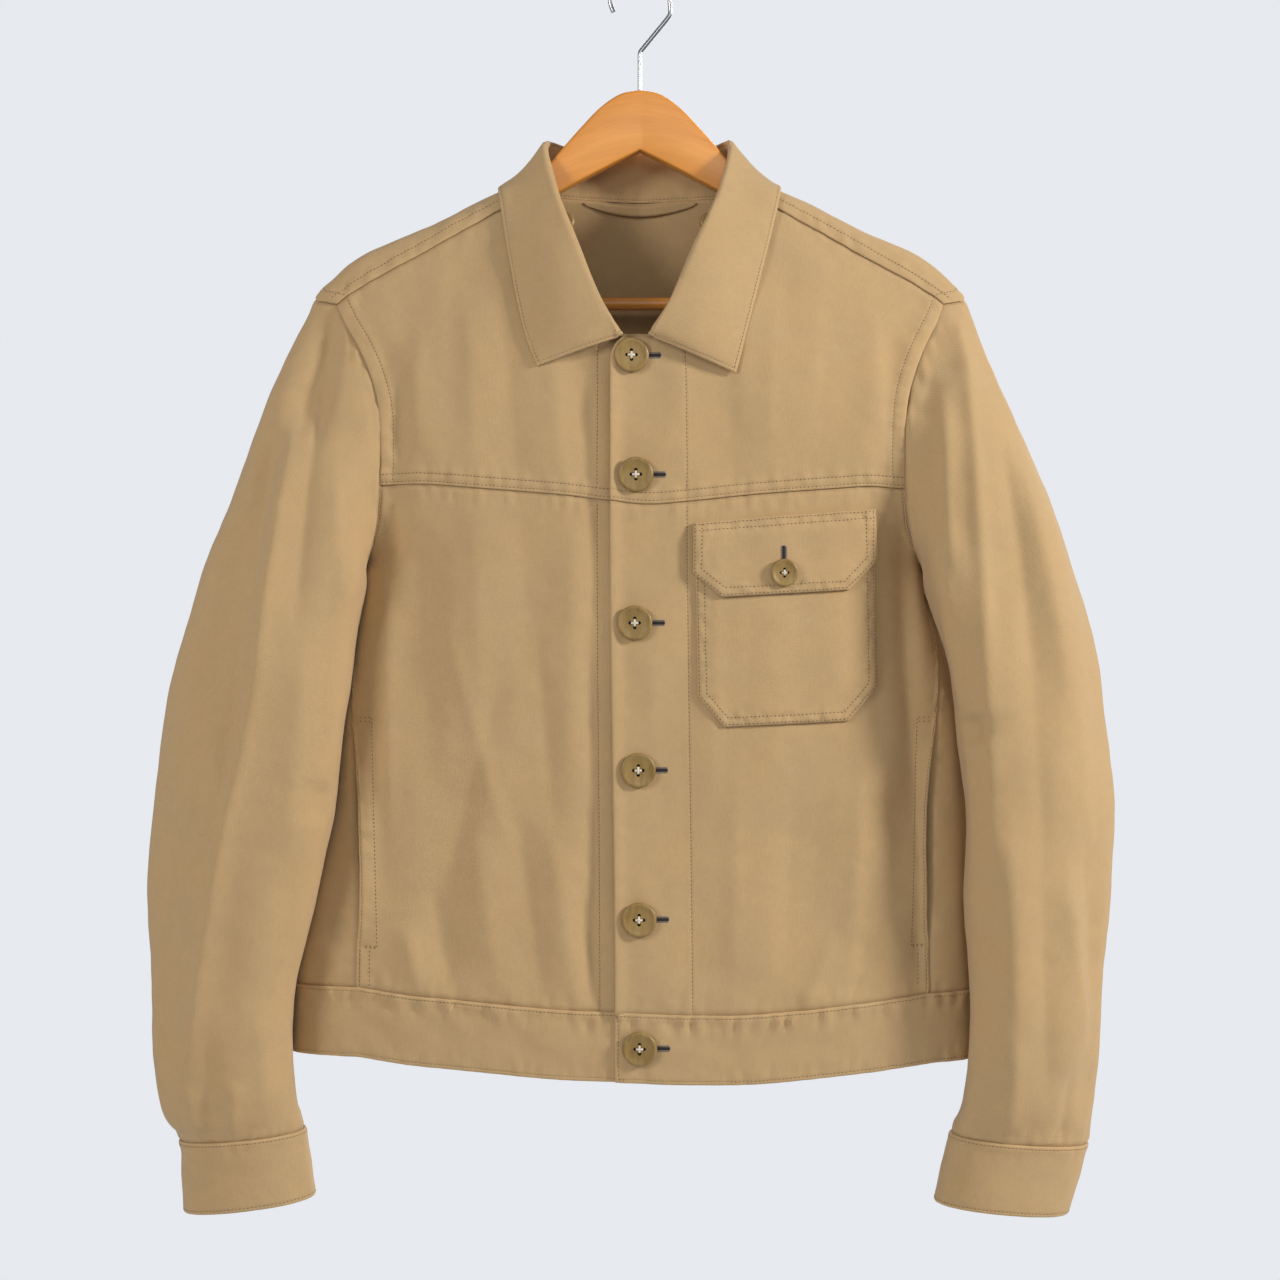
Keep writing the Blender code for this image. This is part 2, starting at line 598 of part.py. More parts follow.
def collar_point(side, share, seat, v):
    """The collar from the neck seam (v 0) over its fold (v 0.4) to the leaf's edge (v 1)."""
    fold = fold_line(side, share)
    edge, outward = leaf_edge(side, share)
    up = (fold - seat).normalized()
    run = fold_line(side, share + 0.03) - fold_line(side, share - 0.03)
    aside = up.cross(run).normalized()
    if aside.x * fold.x + aside.y * fold.y < 0:
        aside.negate()
    inner = fold - up * FOLD_RADIUS
    if v <= 0.35:
        return seat.lerp(inner, v / 0.35)
    if v <= 0.45:
        angle = math.pi * (v - 0.35) / 0.1
        middle = fold - up * FOLD_RADIUS + aside * FOLD_RADIUS
        return middle - aside * FOLD_RADIUS * math.cos(angle) + up * FOLD_RADIUS * math.sin(angle)
    start = fold - up * FOLD_RADIUS + aside * 2 * FOLD_RADIUS
    along = (v - 0.45) / 0.55
    bulge = follow(LEAF_BULGE, share) * math.sin(math.pi * along) * (1 - 0.5 * along)
    return start.lerp(edge, along) + outward * bulge


# ------------------------------------------------------------------ making cloth solids
class Cloth:
    """Grids of points that are welded into one surface and then cut into solid pieces."""

    def __init__(self):
        self.mesh = bmesh.new()
        self.piece_of = self.mesh.faces.layers.int.new("piece")
        self.names = []

    def add(self, name, rows):
        """Adds a grid, a list of rows of points, to a piece."""
        if name not in self.names:
            self.names.append(name)
        corners = [[self.mesh.verts.new(point) for point in row] for row in rows]
        for upper, lower in zip(corners, corners[1:]):
            for a, b, c, d in zip(upper, upper[1:], lower[1:], lower):
                self.mesh.faces.new((a, b, c, d))[self.piece_of] = self.names.index(name)

    def weld(self, outward_sample):
        """Joins equal points and turns every face outwards, as the sample point and normal say."""
        bmesh.ops.remove_doubles(self.mesh, verts=self.mesh.verts, dist=0.02)
        bmesh.ops.recalc_face_normals(self.mesh, faces=self.mesh.faces)
        place, outward = outward_sample
        nearest = min(self.mesh.faces, key=lambda face: (face.calc_center_median() - place).length)
        if nearest.normal.dot(outward) < 0:
            bmesh.ops.reverse_faces(self.mesh, faces=self.mesh.faces)
        self.mesh.normal_update()

    def inset_step(self, vert, index):
        """The step that takes a piece's boundary point inside its seam."""
        faces = {face for face in vert.link_faces if face[self.piece_of] == index}
        step = Vector()
        edges = 0
        for edge in vert.link_edges:
            own = [face for face in edge.link_faces if face in faces]
            if len(own) != 1:
                continue
            run = (edge.verts[1].co - edge.verts[0].co).normalized()
            inward = own[0].calc_center_median() - vert.co
            inward -= run * inward.dot(run)
            inward -= vert.normal * inward.dot(vert.normal)
            if inward.length > 0:
                step += inward.normalized()
                edges += 1
        if not edges or step.length < 0.2:
            return Vector()
        flatness = max(min(face.normal.dot(vert.normal) for face in vert.link_faces), FLATTEST)
        return step * (edges / step.length_squared) * SEAM_GAP / 2 / flatness**2

    def piece(self, name, thickness):
        """One cut piece as a closed solid mesh, in metres."""
        index = self.names.index(name)
        solid = bmesh.new()
        lower = {}
        lift = {}
        faces = [face for face in self.mesh.faces if face[self.piece_of] == index]
        for face in faces:
            for vert in face.verts:
                if vert not in lower:
                    place = vert.co + self.inset_step(vert, index)
                    lower[vert] = solid.verts.new(place - vert.normal * thickness / 2)
                    lift[lower[vert]] = vert.normal * thickness
            solid.faces.new([lower[vert] for vert in face.verts])
        steps = [(lower[vert].co.copy(), vert.normal * thickness) for vert in lower]
        grown = bmesh.ops.extrude_face_region(solid, geom=solid.faces[:], use_keep_orig=True)
        new_verts = [item for item in grown["geom"] if isinstance(item, bmesh.types.BMVert)]
        by_place = {tuple(round(value, 4) for value in place): step for place, step in steps}
        for vert in new_verts:
            vert.co += by_place[tuple(round(value, 4) for value in vert.co)]
        bmesh.ops.recalc_face_normals(solid, faces=solid.faces)
        bmesh.ops.triangulate(solid, faces=solid.faces)
        return solid


def make_object(name, solid, material):
    """Makes an object of a mesh in millimetres."""
    bmesh.ops.scale(solid, vec=(MM, MM, MM), verts=solid.verts)
    data = bpy.data.meshes.new(name)
    solid.to_mesh(data)
    solid.free()
    data.shade_smooth()
    data.set_sharp_from_angle(angle=math.radians(40))
    data.materials.append(material)
    thing = bpy.data.objects.new(name, data)
    bpy.context.scene.collection.objects.link(thing)
    return thing


def make_material(name, colour, roughness, metallic=0.0):
    material = bpy.data.materials.new(name)
    material.use_nodes = True
    shader = material.node_tree.nodes["Principled BSDF"]
    shader.inputs["Base Color"].default_value = (*colour, 1.0)
    shader.inputs["Roughness"].default_value = roughness
    shader.inputs["Metallic"].default_value = metallic
    return material


def grid(function, columns, rows):
    return [[function(column / columns, row / rows) for column in range(columns + 1)]
            for row in range(rows + 1)]


# ------------------------------------------------------------------ the pieces
RING_STEPS = {"tip": 4, "tip_back": 3, "yoke": 6, "scye": 2, "back": 5, "back_yoke": 2}
COLLAR_STEPS = {"neck": 5, "half_back": 4}
YOKE_COLUMNS = 12
FRONT_ROWS = 12
BACK_COLUMNS = 20
BACK_ROWS = 15
SHOULDER_COLUMNS = 6


def body_cloth(cloth):
    for side, hand in ((-1, "right"), (1, "left")):
        cloth.add("yoke_back", grid(lambda u, v: shoulder(side, u, v), SHOULDER_COLUMNS, SHOULDER_ROWS))
        cloth.add(f"yoke_front_{hand}", grid(lambda u, v: yoke_front(side, u, v),
                                             YOKE_COLUMNS, RING_STEPS["yoke"]))
        cloth.add(f"front_{hand}", grid(lambda u, v: front(side, u, v), YOKE_COLUMNS, FRONT_ROWS))
        cloth.add("waistband", grid(lambda u, v: waistband_front(side, u, v), YOKE_COLUMNS, 2))
    cloth.add("yoke_back", grid(back_yoke, BACK_COLUMNS, RING_STEPS["back_yoke"]))
    cloth.add("back", grid(back, BACK_COLUMNS, BACK_ROWS))
    cloth.add("waistband", grid(waistband_back, BACK_COLUMNS, 2))


def sleeve_cloth(cloth):
    for side, hand in ((-1, "right"), (1, "left")):
        rings = [sleeve_ring(side, RING_STEPS, row) for row in range(LAST_SLEEVE_SECTION + 1)]
        _, _, underarm, seam = armhole_ring(side, RING_STEPS)
        count = len(rings[0]) - 1
        top = list(range(seam, count)) + list(range(underarm + 1))
        cloth.add(f"sleeve_top_{hand}", [[ring[index] for index in top] for ring in rings])
        cloth.add(f"sleeve_under_{hand}", [ring[underarm:seam + 1] for ring in rings])
        cloth.add(f"cuff_{hand}", cuff_rows(side, count, seam))


def cuff_rows(side, count, seam):
    """The cuff's strip, from the sleeve's back seam once round and lapping over its start."""
    rows = []
    for row in (0, 0.5, 1):
        ring = sleeve_ring(side, RING_STEPS, LAST_SLEEVE_SECTION + row)
        middle = sum(ring[:-1], Vector()) / count
        strip = []
        for step in range(count + CUFF_LAP + 1):
            point = ring[(seam + step) % count]
            outward = point - middle
            outward.z = 0
            lap = min(max((step - count + 3) / 3, 0.0), 1.0)
            strip.append(point + outward.normalized() * (DOUBLE_CLOTH + LAYER_GAP) * lap)
        rows.append(strip)
    return rows


def collar_cloth(cloth):
    columns = collar_columns(COLLAR_STEPS)
    stand = (0, 0.18, 0.35)
    leaf = (0.35, 0.4, 0.45, 0.63, 0.82, 1.0)
    for name, shares in (("collar_stand", stand), ("collar_leaf", leaf)):
        cloth.add(name, [[collar_point(side, share, seat, v) for side, share, seat in columns]
                         for v in shares])


def outlined_patch(outline, top, bottom, lift):
    """A pocket piece: its outline by height, laid on the front at a given lift."""
    def point(u, v):
        left = between_rows(outline, v, 1)
        right = between_rows(outline, v, 2)
        x = between(left, right, u)
        across = (x - outline[0][1]) / (outline[0][2] - outline[0][1])
        down = between(between(top[0], top[1], across), between(bottom[0], bottom[1], across), v)
        return above_front(x, down, 1, lift(v))
    return point


def between_rows(outline, v, column):
    for upper, lower in zip(outline, outline[1:]):
        if v <= lower[0]:
            return between(upper[column], lower[column], (v - upper[0]) / (lower[0] - upper[0]))
    return outline[-1][column]


def patch_rows(function, columns, heights):
    return [[function(column / columns, v) for column in range(columns + 1)] for v in heights]


PATCH_LIFT = BODY_CLOTH + LAYER_GAP + 0.15
FLAP_FREE_LIFT = PATCH_LIFT + BODY_CLOTH / 2 + LAYER_GAP + 0.6 + DOUBLE_CLOTH / 2
FLAP_SEAM_LIFT = BODY_CLOTH / 2 + LAYER_GAP + 0.2 + DOUBLE_CLOTH / 2


def pocket_cloth(cloth):
    patch = outlined_patch(POCKET_OUTLINE, POCKET_TOP, POCKET_BOTTOM, lambda v: PATCH_LIFT)
    cloth.add("chest_pocket", patch_rows(patch, 8, (0, 0.1, 0.2, 0.3, 0.56, 0.83, 1.0)))
    flap = outlined_patch(FLAP_OUTLINE, FLAP_TOP, FLAP_BOTTOM,
                          lambda v: between(FLAP_SEAM_LIFT, FLAP_FREE_LIFT, ease(v / 0.22)))
    cloth.add("chest_flap", patch_rows(flap, 8, (0, 0.11, 0.22, 0.66, 1.0)))


def facing_cloth(cloth):
    """The strip behind each side pocket's mouth, inside the body."""
    for side, hand in ((-1, "right"), (1, "left")):
        def point(u, v):
            down = between(FACING_DOWN[0], FACING_DOWN[1], v)
            seam_x = side * follow(SIDE_SEAM, down, 1 if side < 0 else 2)
            turn = turn_at(seam_x, down, on_back=False) + between(-1, 1, u) * FACING_HALF_TURN
            normal = normal_at(around_point_steps, turn * 100, down)
            surface = around_point(turn, down)
            middle = Vector((0, 0, -down))
            if normal.dot(surface - middle) > 0:
                normal.negate()
            return surface + normal * (BODY_CLOTH + LAYER_GAP + FACING_SLACK)
        cloth.add(f"pocket_facing_{hand}", grid(point, 4, 8))


def around_point_steps(hundredth_turn, down):
    return around_point(hundredth_turn / 100, down)


def loop_cloth(cloth):
    """The hanging loop, a strip inside the back neck that sags between its sewn ends."""
    inside = BODY_CLOTH / 2 + LAYER_GAP + LOOP_THICKNESS / 2

    def point(u, v):
        x = between(-LOOP_HALF_LENGTH, LOOP_HALF_LENGTH, u)
        sag = LOOP_SAG * math.sin(math.pi * u)
        down = NECK_BACK_DOWN + 1 + sag + LOOP_HEIGHT * v
        surface = back_point(x, down)
        return surface - Vector((0, inside * 1.15, 0))
    cloth.add("hanging_loop", grid(point, 10, 1))


def make_button(name, place, outward, radius, material):
    """A turned button with a raised rim and a dished middle, its back on the cloth."""
    rim = BUTTON_THICKNESS
    profile = ((0, 0), (radius * 0.8, 0), (radius, rim * 0.45), (radius * 0.93, rim * 0.95),
               (radius * 0.8, rim), (radius * 0.62, rim * 0.62), (0, rim * 0.58))
    solid = bmesh.new()
    verts = [solid.verts.new((across, 0, height)) for across, height in profile]
    edges = [solid.edges.new(pair) for pair in zip(verts, verts[1:])]
    bmesh.ops.spin(solid, geom=verts + edges, cent=(0, 0, 0), axis=(0, 0, 1), dvec=(0, 0, 0),
                   angle=2 * math.pi, steps=BUTTON_SIDES, use_merge=True)
    bmesh.ops.remove_doubles(solid, verts=solid.verts, dist=0.001)
    bmesh.ops.recalc_face_normals(solid, faces=solid.faces)
    button = make_object(name, solid, material)
    button.location = place * MM
    button.rotation_mode = "QUATERNION"
    button.rotation_quaternion = outward.to_track_quat("Z", "X")
    return button


def front_button(name, x, down, lift, radius, material):
    normal = normal_at(lambda a, b: front_point(a, b, 1), x, down)
    if normal.y > 0:
        normal.negate()
    make_button(name, front_point(x, down, 1) + normal * lift, normal, radius, material)


def make_buttons(material):
    for number, (x, down) in enumerate(zip(BUTTON_XS, BUTTON_DOWNS), start=1):
        cloth_half = (DOUBLE_CLOTH if down > WAIST_SEAM[5][1] else BODY_CLOTH) / 2
        front_button(f"button_front_{number}", x, down, cloth_half + LAYER_GAP, BUTTON_RADIUS, material)
    pocket_lift = FLAP_FREE_LIFT + DOUBLE_CLOTH / 2 + LAYER_GAP
    front_button("button_pocket", *POCKET_BUTTON, pocket_lift, SMALL_RADIUS, material)
    for side, hand in ((-1, "right"), (1, "left")):
        make_cuff_button(side, f"button_cuff_{hand}", material)
        make_neck_button(side, f"button_neck_{hand}", material)


def make_cuff_button(side, name, material):
    """On the lapped end of the cuff, half-way down it."""
    _, _, _, seam = armhole_ring(side, RING_STEPS)
    count = len(sleeve_ring(side, RING_STEPS, 0)) - 1
    rows = cuff_rows(side, count, seam)
    middle_row = rows[1]
    ahead, behind = middle_row[-1], middle_row[-3]
    place = (ahead + behind) / 2
    outward = (rows[0][-2] - rows[2][-2]).cross(ahead - behind).normalized()
    if outward.dot(place - sum(middle_row, Vector()) / len(middle_row)) < 0:
        outward.negate()
    lift = DOUBLE_CLOTH / 2 + LAYER_GAP + 1.0
    make_button(name, place + outward * lift, outward, SMALL_RADIUS, material)


def make_neck_button(side, name, material):
    """Sewn to the inner face of the collar stand, near its fold."""
    columns = collar_columns(COLLAR_STEPS)
    share = NECK_BUTTON_SHARE
    below = max((column for column in columns if column[0] == side and column[1] <= share),
                key=lambda column: column[1])
    above = min((column for column in columns if column[0] == side and column[1] > share),
                key=lambda column: column[1])
    seat = below[2].lerp(above[2], (share - below[1]) / (above[1] - below[1]))
    place = collar_point(side, share, seat, NECK_BUTTON_V)
    ahead = collar_point(side, share + 0.02, seat, NECK_BUTTON_V) - place
    rise = place - seat
    outward = rise.cross(ahead).normalized()
    if outward.y < 0:
        outward.negate()
    lift = BODY_CLOTH / 2 + LAYER_GAP + 0.6
    make_button(name, place + outward * lift, outward, NECK_BUTTON_RADIUS, material)


# ------------------------------------------------------------------ hanger
def cylinder(name, radius, start, end, sides):
    solid = bmesh.new()
    run = end - start
    turn = run.to_track_quat("Z", "X").to_matrix().to_4x4()
    bmesh.ops.create_cone(solid, cap_ends=True, segments=sides, radius1=radius, radius2=radius,
                          depth=run.length, matrix=Matrix.Translation((start + end) / 2) @ turn)
    return solid


def make_hanger(wood, metal):
    solid = bmesh.new()
    last_x = WOOD_TOP[-1][0]
    rows = []
    for step in range(-WOOD_COLUMNS, WOOD_COLUMNS + 1):
        x = last_x * step / WOOD_COLUMNS
        top, bottom = follow(WOOD_TOP, abs(x)), follow(WOOD_BOTTOM, abs(x))
        rows.append([solid.verts.new((x, -WOOD_THICKNESS / 2, -down)) for down in (top, bottom)])
    for left, right in zip(rows, rows[1:]):
        solid.faces.new((left[0], left[1], right[1], right[0]))
    grown = bmesh.ops.extrude_face_region(solid, geom=solid.faces[:], use_keep_orig=True)
    moved = [item for item in grown["geom"] if isinstance(item, bmesh.types.BMVert)]
    bmesh.ops.translate(solid, vec=(0, WOOD_THICKNESS, 0), verts=moved)
    bmesh.ops.recalc_face_normals(solid, faces=solid.faces)
    rim = [edge for edge in solid.edges
           if edge.calc_face_angle(0) > math.radians(45) and abs(edge.verts[0].co.y - edge.verts[1].co.y) < 1]
    bmesh.ops.bevel(solid, geom=rim, offset=WOOD_ROUNDING, affect="EDGES", segments=3, profile=0.5,
                    material=-1, clamp_overlap=True)
    body = make_object("hanger_wood", solid, wood)

    clear_bar = cylinder("bar_hole", BAR_RADIUS + HOLE_CLEARANCE, Vector((-BAR_HALF_LENGTH - 0.5, 0, -BAR_DOWN)),
                         Vector((BAR_HALF_LENGTH + 0.5, 0, -BAR_DOWN)), 16)
    clear_wire = cylinder("wire_hole", WIRE_RADIUS + HOLE_CLEARANCE, Vector((0, 0, -WIRE_FOOT_DOWN - 0.4)),
                          Vector((0, 0, -60)), 12)
    for name, cutter_mesh in (("bar_hole", clear_bar), ("wire_hole", clear_wire)):
        cutter = make_object(name, cutter_mesh, wood)
        cutter.hide_render = True
        cutter.display_type = "WIRE"
        cut = body.modifiers.new(name, "BOOLEAN")
        cut.operation = "DIFFERENCE"
        cut.object = cutter

    bar = cylinder("bar", BAR_RADIUS, Vector((-BAR_HALF_LENGTH, 0, -BAR_DOWN)),
                   Vector((BAR_HALF_LENGTH, 0, -BAR_DOWN)), 16)
    make_object("hanger_bar", bar, wood)
    make_hook(metal)


def hook_path():
    """The wire: up out of the wood, a slant to the side, then round over the top."""
    centre_down = HOOK_RADIUS - WIRE_RADIUS
    points = [Vector((0, 0, -down)) for down in (WIRE_FOOT_DOWN, 95, 84, 74, 66, 60)]
    slant_start = Vector((1.2, 0, -HOOK_BEND_DOWN))
    slant_end = Vector((HOOK_RADIUS, 0, -centre_down - 12.5))
    points += [slant_start.lerp(slant_end, share / 5) for share in range(6)]
    points.append(Vector((HOOK_RADIUS + 0.6, 0, -centre_down - 9.0)))
    for angle in range(-8, 211, 12):
        turn = math.radians(angle)
        points.append(Vector((HOOK_RADIUS * math.cos(turn), 0, HOOK_RADIUS * math.sin(turn) - centre_down)))
    return points


def make_hook(metal):
    """A tube round the wire's path, with flat ends; the path lies in the XZ plane."""
    path = hook_path()
    solid = bmesh.new()
    rings = []
    for index, place in enumerate(path):
        run = path[min(index + 1, len(path) - 1)] - path[max(index - 1, 0)]
        aside = Vector((0, 1, 0)).cross(run).normalized()
        ring = []
        for step in range(WIRE_SIDES):
            angle = 2 * math.pi * step / WIRE_SIDES
            offset = aside * math.cos(angle) + Vector((0, 1, 0)) * math.sin(angle)
            ring.append(solid.verts.new(place + offset * WIRE_RADIUS))
        rings.append(ring)
    for lower, upper in zip(rings, rings[1:]):
        for step in range(WIRE_SIDES):
            ahead = (step + 1) % WIRE_SIDES
            solid.faces.new((lower[step], lower[ahead], upper[ahead], upper[step]))
    solid.faces.new(rings[0])
    solid.faces.new(rings[-1])
    bmesh.ops.recalc_face_normals(solid, faces=solid.faces)
    make_object("hanger_hook", solid, metal)


def clear_scene():
    for thing in list(bpy.data.objects):
        bpy.data.objects.remove(thing, do_unlink=True)


def main():
    clear_scene()
    twill = make_material("twill", (0.50, 0.34, 0.17), 0.9)
    horn = make_material("horn", (0.28, 0.18, 0.05), 0.35)
    wood = make_material("wood", (0.72, 0.33, 0.10), 0.45)
    metal = make_material("wire", (0.72, 0.73, 0.75), 0.2, metallic=1.0)

    garment = Cloth()
    body_cloth(garment)
    sleeve_cloth(garment)
    collar_cloth(garment)
    garment.weld((front_point(100, 550, 1), Vector((0, -1, 0))))
    double = {"waistband", "cuff_right", "cuff_left", "collar_leaf"}
    for name in garment.names:
        thickness = DOUBLE_CLOTH if name in double else BODY_CLOTH
        make_object(name, garment.piece(name, thickness), twill)

    laid_on = Cloth()
    pocket_cloth(laid_on)
    facing_cloth(laid_on)
    loop_cloth(laid_on)
    laid_on.mesh.normal_update()
    for name in laid_on.names:
        thickness = {"chest_flap": DOUBLE_CLOTH, "hanging_loop": LOOP_THICKNESS}.get(name, BODY_CLOTH)
        make_object(name, laid_on.piece(name, thickness), twill)

    make_buttons(horn)
    make_hanger(wood, metal)


main()
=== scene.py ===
"""The looks of a khaki twill jacket on a wooden hanger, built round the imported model.

+Z is up, the jacket's front faces -Y, and the origin is where the hook hangs. "Side" is -1 for the
half at -X and +1 for the half at +X, whose front laps over the other one. Sizes are in millimetres,
"down" is the distance below the hook, and to_object turns a finished mesh into metres.

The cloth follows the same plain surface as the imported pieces. Each cut piece is a grid of points on
that surface, spaced closely at its stitched edges. Its seams, folds and puckers are then raised from
it, it gets its thickness, and threads are laid in its stitch rows.
"""
import math

import bmesh
import bpy
import numpy as np
from mathutils import Matrix, Vector, noise
from mathutils.bvhtree import BVHTree


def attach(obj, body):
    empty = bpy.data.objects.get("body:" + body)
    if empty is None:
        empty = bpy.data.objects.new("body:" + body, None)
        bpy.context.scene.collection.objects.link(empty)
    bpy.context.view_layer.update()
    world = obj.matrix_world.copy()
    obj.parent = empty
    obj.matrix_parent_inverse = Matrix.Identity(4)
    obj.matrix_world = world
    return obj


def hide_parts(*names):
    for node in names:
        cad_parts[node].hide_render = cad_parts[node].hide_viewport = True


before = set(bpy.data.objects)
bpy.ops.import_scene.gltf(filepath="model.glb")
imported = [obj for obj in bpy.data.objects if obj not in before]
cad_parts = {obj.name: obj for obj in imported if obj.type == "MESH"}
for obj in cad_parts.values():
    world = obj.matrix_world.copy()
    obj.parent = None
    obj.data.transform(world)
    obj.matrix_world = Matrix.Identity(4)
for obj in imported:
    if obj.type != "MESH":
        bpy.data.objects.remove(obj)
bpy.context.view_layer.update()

MM = 0.001
SHARP_ANGLE = math.radians(50)
MERGE = 0.001             # points of a turned or drawn shape that are this near are one
PATCH_MERGE = 0.09        # and points where two patches of a cloth piece meet
SHORTEST = 1e-6           # a line that has a direction is longer than this
FAR = 99.0                # further than any edge matters

# ---- cloth ----
BODY_CLOTH = 1.6          # thickness of a single layer
DOUBLE_CLOTH = 2.2        # waistband, cuffs, collar leaf and pocket flap
LAYER_GAP = 0.45          # between a piece and what lies on it

# ---- the body's shape ----
SIDE_POWER = 2.6          # how boxy the body is seen from above
RIDGE_RADIUS = 9.0        # the cloth's bend over the shoulders
FALL = 170.0              # the body reaches its full depth this far below the shoulder line
UNDERARM = 412.0
WAISTBAND_HEIGHT = 46.5
RIDGE = (                 # x, down: the shoulder line, carried on to the centre
    (0, 109), (40, 128), (82, 148.3), (98, 156), (145, 178.7), (181, 195.3), (201, 206.5),
    (215, 217.5), (226, 230), (240, 248))
HALF_WIDTH = (            # down, -X side, +X side
    (230, 335, 335), (300, 288, 288), (352, 250, 252), (385, 214, 218), (412, 193, 197),
    (424, 193.8, 198.2), (440, 195.6, 201.5), (462, 200, 208), (490, 205.5, 217), (530, 212, 226),
    (585, 219, 230.5), (642, 231.5, 232), (700, 242, 233.5), (768, 243, 236))
HALF_DEPTH = (            # down, front, back
    (230, 44, 36), (360, 48, 40), (480, 50, 43), (600, 50, 44), (720, 50, 45), (770, 48, 43))
FRONT_FOLDS = (           # start x, start down, end x, end down, half width, height
    (-178, 268, -158, 346, 11, -3.0), (-171, 290, -172, 350, 7, 1.5),
    (172, 262, 166, 350, 10, -2.5), (-120, 560, -132, 690, 22, -3.0), (110, 590, 118, 700, 20, -2.0))

# ---- seams ----
SHOULDER_SEAM = (         # x, distance below the shoulder line, on the front
    (84, 14), (97, 15), (134, 17.7), (170, 21), (210, 23))
SHOULDER_ROWS = 7         # front seam, then the bend from -90 to 90 degrees in six steps
SHOULDER_END = (          # row, x at the armhole, x at the neck
    (0, 210, 84), (1, 221.5, 83.5), (2, 224.3, 83), (3, 225.6, 82.5), (4, 226, 82),
    (5, 225.5, 81), (6, 223.5, 80), (7, 220, 78))
ARMHOLE_FRONT = (         # down, x, below the end of the shoulder seam
    (250, 204), (268, 194), (290, 185), (310, 180), (335, 178.5), (363, 179.5),
    (385, 182), (400, 186), (412, 195))
ARMHOLE_BACK = (          # down, x, below the back edge of the shoulder
    (245, 213.5), (268, 206), (295, 199), (330, 194), (365, 192), (392, 192),
    (412, 195))
YOKE_SEAM = (             # x, down
    (-180, 363), (-147, 362.5), (-108, 365.5), (-54, 370), (-20, 374), (5, 376.5), (28, 375),
    (81, 369.5), (133, 365.5), (155, 364), (182, 365))
WAIST_SEAM = (            # x, down
    (-237, 703), (-193, 706.5), (-158, 711), (-122, 714), (-54, 720), (-18, 721.5), (40, 723.5),
    (81, 723), (149, 717), (176, 714), (219, 709))
SIDE_SEAM = (             # down, -X side, +X side
    (412, 193, 197), (443, 195, 201), (472, 197.3, 206), (500, 197.5, 206), (530, 197, 204),
    (590, 195, 201.5), (650, 193, 200), (714, 193, 198))
BACK_YOKE_DOWN = 238.0
BACK_YOKE_DROP = 28.0     # how much lower the back yoke's seam is at the armholes
NECK_FRONT_DOWN = 263.0
NECK_BACK_DOWN = 159.0
NECK_FOOT = 115.0                      # the points below the neck's corner run down to this x
NECK_END = {-1: 12.0, 1: 6.0}          # where the collar starts, from the centre
FRONT_EDGE = {                          # x of the front edges at the neck corner, yoke and waist
    -1: (18.0, 18.0, 20.0), 1: (-12.0, -20.0, -16.5)}
CORNER_SHARE = 0.15                     # the rounded neck corner's share of the yoke's front edge
LAP_LIFT = 1.05
LAP_FROM, LAP_TO = 28.0, 62.0           # the lapped fronts part from the surface between these

# ---- sleeves: the seam at the shoulder's tip, eleven sections, and the cuff's lower edge ----
SLEEVE_POWER = 2.2
SLEEVE_FADE = 0.36        # the share of the sleeve along which the armhole's shape dies out
SLEEVE_TWIST = math.radians(35)
SLEEVE_SECTIONS = {       # outer x, down, y; inner x, down, y; front half depth, back half depth
    -1: (
        (226, 230, 0, 193, 412, -18, 40, 36), (253, 292, -4, 197, 424, -22, 46, 38),
        (274.5, 352, -6, 197, 440, -28, 49, 37), (296, 408, -8, 197, 462, -33, 50, 36),
        (312.5, 466, -9, 199, 492, -36, 49, 35), (326, 522, -10, 203, 530, -38, 47, 33),
        (334, 584, -12, 209, 585, -40, 44, 32), (336.5, 650, -14, 222, 642, -40, 41, 32),
        (335.5, 715, -15, 235, 702, -37, 38, 32), (332, 765, -16, 239, 750, -32, 36, 31),
        (326, 797, -16, 237, 785, -28, 32, 29), (317, 814, -16, 231.5, 805, -25, 27, 26),
        (315, 863, -14, 225, 851, -20, 27, 26)),
    1: (
        (226, 230, 0, 197, 412, -18, 40, 36), (245, 280, -4, 202, 423, -24, 46, 38),
        (266, 332, -6, 203.5, 439, -30, 48, 37), (289, 388, -8, 206, 460, -35, 48, 36),
        (306, 441, -9, 211.5, 489, -38, 47, 35), (318, 500, -10, 217, 528, -39, 45, 33),
        (326.5, 574, -12, 222, 586, -40, 43, 32), (325, 630, -14, 223, 640, -40, 41, 32),
        (320, 688, -15, 225, 692, -40, 39, 31), (317, 745, -16, 225.5, 742, -40, 37, 29),
        (312, 785, -16, 222, 783, -36, 33, 28), (308.5, 816, -16, 214, 807, -30, 27, 26),
        (296, 864, -14, 203.5, 854, -24, 27, 26))}
LAST_SLEEVE_SECTION = 11
SLEEVE_FOLDS = {          # start turn, start length, end turn, end length, half width, height
    -1: (
        (0.10, 0.02, 0.17, 0.45, 0.045, -5.0), (0.06, 0.25, 0.10, 0.98, 0.04, 3.5),
        (0.27, 0.30, 0.22, 0.75, 0.05, -3.5)),
    1: (
        (0.10, 0.02, 0.17, 0.55, 0.04, 4.0), (0.30, 0.06, 0.22, 0.30, 0.05, -4.5),
        (0.12, 0.45, 0.10, 0.95, 0.05, -3.5))}
CUFF_LAP = 2              # columns by which the cuff's end laps over its start

